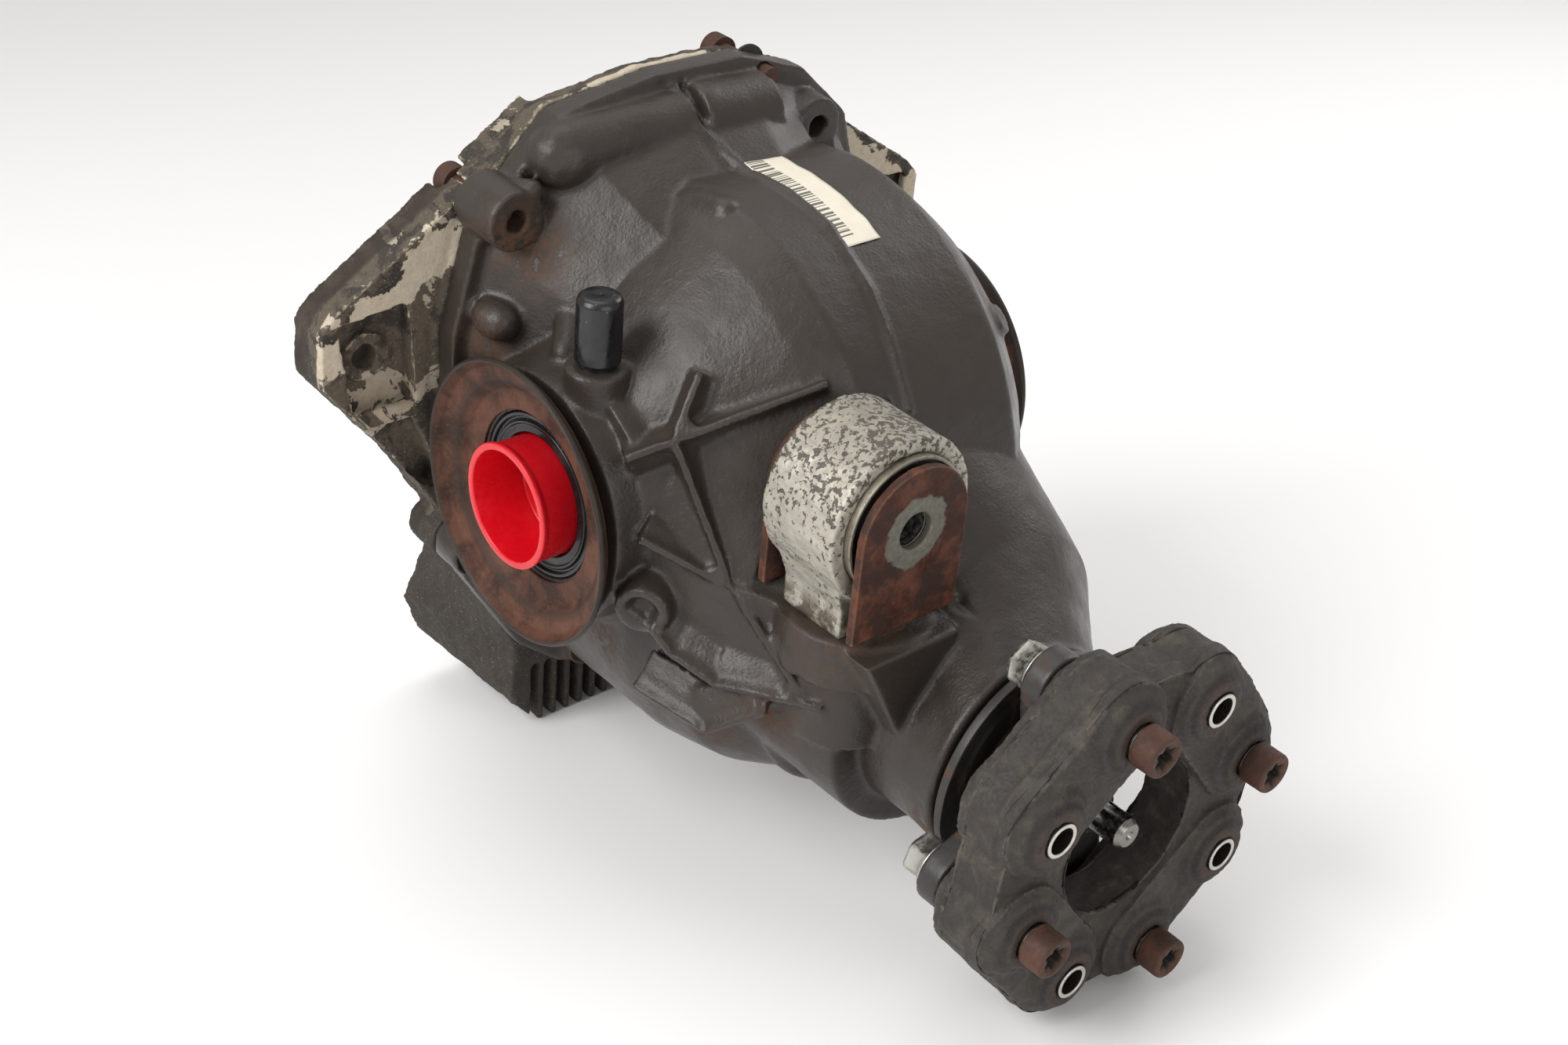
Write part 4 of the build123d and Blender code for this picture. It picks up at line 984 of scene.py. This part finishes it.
def build_pinion_line():
    """Centring pin, dust ring and flange on the pinion axis."""
    low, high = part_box("centring_pin")
    pin = [
        (high.y, 0.1 * MM), (high.y, 4 * MM), (low.y + 18 * MM, 4 * MM), (low.y + 18 * MM, 9 * MM),
        (low.y + 16 * MM, 9 * MM), (low.y + 15 * MM, 6.2 * MM), (low.y + 2.2 * MM, 6.2 * MM),
        (low.y, 4.6 * MM), (low.y, 1.8 * MM), (low.y + 2.5 * MM, 0.1 * MM),
    ]
    lathe("centring_pin_turned", "centring_pin", pin, (0, 0, PINION.z), "Y", 0.3 * MM, 96, False)
    low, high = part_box("flange_dust_ring")
    ring = [
        (high.y - 3.0 * MM, 24.3 * MM), (high.y - 2.0 * MM, 22 * MM), (high.y, 22 * MM),
        (high.y, high.x - 1 * MM), (high.y - 0.4 * MM, high.x), (low.y, high.x),
        (low.y, high.x - 1.3 * MM), (high.y - 1.5 * MM, high.x - 1.6 * MM),
        (high.y - 1.5 * MM, 36 * MM), (high.y - 2.2 * MM, 34 * MM), (high.y - 1.5 * MM, 24.3 * MM),
    ]
    lathe("dust_ring_sheet", "flange_dust_ring", ring, (0, 0, PINION.z), "Y", 0.5 * MM, 160)
    cast("flange_forging", "pinion_flange", 0.9 * MM, None, 6, None, 0.1 * MM, 8 * MM)


# ------------------------------------------------------------------ breather and label
def build_breather():
    """Moulded cap with a bevelled top and a foot ring."""
    low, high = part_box("breather_cap")
    wide = (high.x - low.x) / 2
    outline = [
        (low.z, 3.0 * MM), (low.z, wide - 1.0 * MM), (low.z + 1.2 * MM, wide - 0.6 * MM),
        (low.z + 1.6 * MM, wide), (high.z - 2.4 * MM, wide - 0.1 * MM),
        (high.z - 0.7 * MM, wide - 1.0 * MM), (high.z, wide - 2.4 * MM), (high.z, 0.1 * MM),
        (high.z - 4 * MM, 0.1 * MM), (high.z - 4 * MM, 3.0 * MM),
    ]
    lathe("breather_cap_moulding", "breather_cap", outline, CAP, "Z", 0.6 * MM, 96)


LABEL_LIFT, LIFT_FROM = 2.2 * MM, 0.86  # height of the lifted end and where along the strip it starts


def build_label():
    """Paper strip on the barrel with one lifted corner."""
    low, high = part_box("type_label")
    radius = high.z + 0.25 * MM
    start, end = math.atan2(low.y, radius), math.atan2(high.y, radius)
    columns, rows = 48, 16
    bm = bmesh.new()
    grid = []
    for i in range(columns + 1):
        line = []
        for j in range(rows + 1):
            u, v = i / columns, j / rows
            angle = start + (end - start) * u
            lift = LABEL_LIFT * max(0.0, u - LIFT_FROM) / (1 - LIFT_FROM) * (0.4 + 0.6 * (1 - v))
            lift += 0.25 * MM * max(0.0, noise.noise(Vector((u * 5, v * 3, 0.3))))
            x = low.x + (high.x - low.x) * v + 0.5 * MM * noise.noise(Vector((u * 9, 4, v)))
            r = radius + lift
            line.append(bm.verts.new((x, r * math.sin(angle), r * math.cos(angle))))
        grid.append(line)
    for i in range(columns):
        for j in range(rows):
            bm.faces.new((grid[i][j], grid[i + 1][j], grid[i + 1][j + 1], grid[i][j + 1]))
    mesh = finish_mesh(bm, "label_sheet")
    piece = make_piece("label_sheet", mesh, "type_label")
    thick = piece.modifiers.new("thickness", "SOLIDIFY")
    thick.thickness = 0.15 * MM


# ------------------------------------------------------------------ front bush
def build_bush():
    """Bush bracket, its shell, rubber and sleeve, and the two plates."""
    cast("bush_casting", "front_bush_bracket", 0.8 * MM, None, 4, None, 0.25 * MM, 6 * MM)
    low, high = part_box("bush_shell")
    wide = (high.x - low.x) / 2
    inner = wide - 1.5 * MM
    shell = [(low.y, inner), (low.y, wide), (high.y, wide), (high.y, inner)]
    lathe("bush_shell_ring", "bush_shell", shell, BUSH, "Y", 0.5 * MM, 128)
    low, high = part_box("bush_rubber")
    rubber = [
        (low.y, inner), (high.y, inner), (high.y - 1 * MM, 21 * MM), (high.y - 6 * MM, 18.5 * MM),
        (high.y - 2 * MM, 15 * MM), (high.y - 1 * MM, 11.3 * MM), (low.y + 1 * MM, 11.3 * MM),
        (low.y + 2 * MM, 15 * MM), (low.y + 6 * MM, 18.5 * MM), (low.y + 1 * MM, 21 * MM),
    ]
    lathe("bush_rubber_moulding", "bush_rubber", rubber, BUSH, "Y", 1.2 * MM, 128)
    bore, wall = 7.25 * MM, 11 * MM
    sleeve = [(bush_low.y, bore), (bush_low.y, wall), (bush_high.y, wall), (bush_high.y, bore)]
    lathe("bush_sleeve_tube", "bush_sleeve", sleeve, BUSH, "Y", 0.4 * MM, 96)
    for name in ("bush_plate_front", "bush_plate_rear"):
        cast(name + "_pressing", name, 0.55 * MM, None, 2, None, 0.12 * MM, 7 * MM)


# ------------------------------------------------------------------ pieces that keep their CAD shape
def shade_rest():
    """Gives every CAD node that still shows its own procedural material."""
    for name, node in frame["nodes"].items():
        node.data.materials.clear()
        node.data.materials.append(MATERIALS[SLOT_OF[name]])


# ------------------------------------------------------------------ scene
def build_floor():
    """Pale floor through the two edges that the part rests on."""
    front = Vector((0, disc_low.y, disc_low.z))
    back = Vector((0, cover_low.y, cover_low.z))
    slope = math.atan2(back.z - front.z, back.y - front.y)
    bpy.ops.mesh.primitive_plane_add(size=12, location=front)
    floor = bpy.context.object
    floor.name = "floor"
    floor.rotation_euler = (slope, 0, 0)
    s = Shader("floor_paper", roughness=0.55)
    s.set("Base Color", s.mix(s.noise(0.8, 3), (0.88, 0.88, 0.88), (0.92, 0.92, 0.92)))
    floor.data.materials.append(s.material)


def add_light(name, place, target, size, power):
    """Soft rectangular lamp that looks at target."""
    data = bpy.data.lights.new(name, "AREA")
    data.shape = "RECTANGLE"
    data.size, data.size_y = size
    data.energy = power
    light = bpy.data.objects.new(name, data)
    light.location = place
    light.rotation_euler = (Vector(target) - Vector(place)).to_track_quat("-Z", "Y").to_euler()
    bpy.context.scene.collection.objects.link(light)


WORLD_COLOUR, WORLD_STRENGTH = (1.0, 0.975, 0.95, 1), 0.55


def build_lights():
    world = bpy.data.worlds.new("studio")
    bpy.context.scene.world = world
    world.use_nodes = True
    background = world.node_tree.nodes["Background"]
    background.inputs["Color"].default_value = WORLD_COLOUR
    background.inputs["Strength"].default_value = WORLD_STRENGTH
    centre = (0, -0.06, 0)
    add_light("key_left", (-1.5, 0.2, 1.1), centre, (1.0, 1.2), 30)
    add_light("top_soft", (0.1, 0.6, 1.6), centre, (1.2, 1.2), 7)
    add_light("front_fill", (-0.3, -1.8, 0.8), centre, (1.2, 0.8), 9)
    add_light("right_rim", (1.4, 0.2, 0.8), centre, (0.8, 1.0), 6)


CAMERA_PLACE = (-0.5122, -0.5739, 0.4428)
CAMERA_AZIMUTH, CAMERA_ELEVATION, CAMERA_ROLL = -43.44, 32.25, 5.8
CAMERA_LENS, CAMERA_FILM = 51.41, 36


def build_camera():
    """Camera from its azimuth about Z, its elevation and its roll."""
    data = bpy.data.cameras.new("camera")
    data.lens = CAMERA_LENS
    data.sensor_width = CAMERA_FILM
    data.clip_start = 0.01
    camera = bpy.data.objects.new("camera", data)
    azimuth, elevation, roll = (math.radians(a) for a in (CAMERA_AZIMUTH, CAMERA_ELEVATION, CAMERA_ROLL))
    back = Vector((math.sin(azimuth) * math.cos(elevation), -math.cos(azimuth) * math.cos(elevation),
                   math.sin(elevation)))
    level = Vector((math.cos(azimuth), math.sin(azimuth), 0))
    upright = back.cross(level)
    right = level * math.cos(roll) + upright * math.sin(roll)
    up = back.cross(right)
    camera.matrix_world = Matrix.Translation(CAMERA_PLACE) @ Matrix((right, up, back)).transposed().to_4x4()
    bpy.context.scene.collection.objects.link(camera)
    bpy.context.scene.camera = camera


for build in (shade_rest, build_housing, build_cover, build_outputs, build_disc, build_coupling,
              build_pinion_line, build_breather, build_label, build_bush, build_floor, build_lights,
              build_camera):
    build()
scene = bpy.context.scene
scene.view_settings.view_transform = "Standard"
scene.view_settings.exposure = 0.0
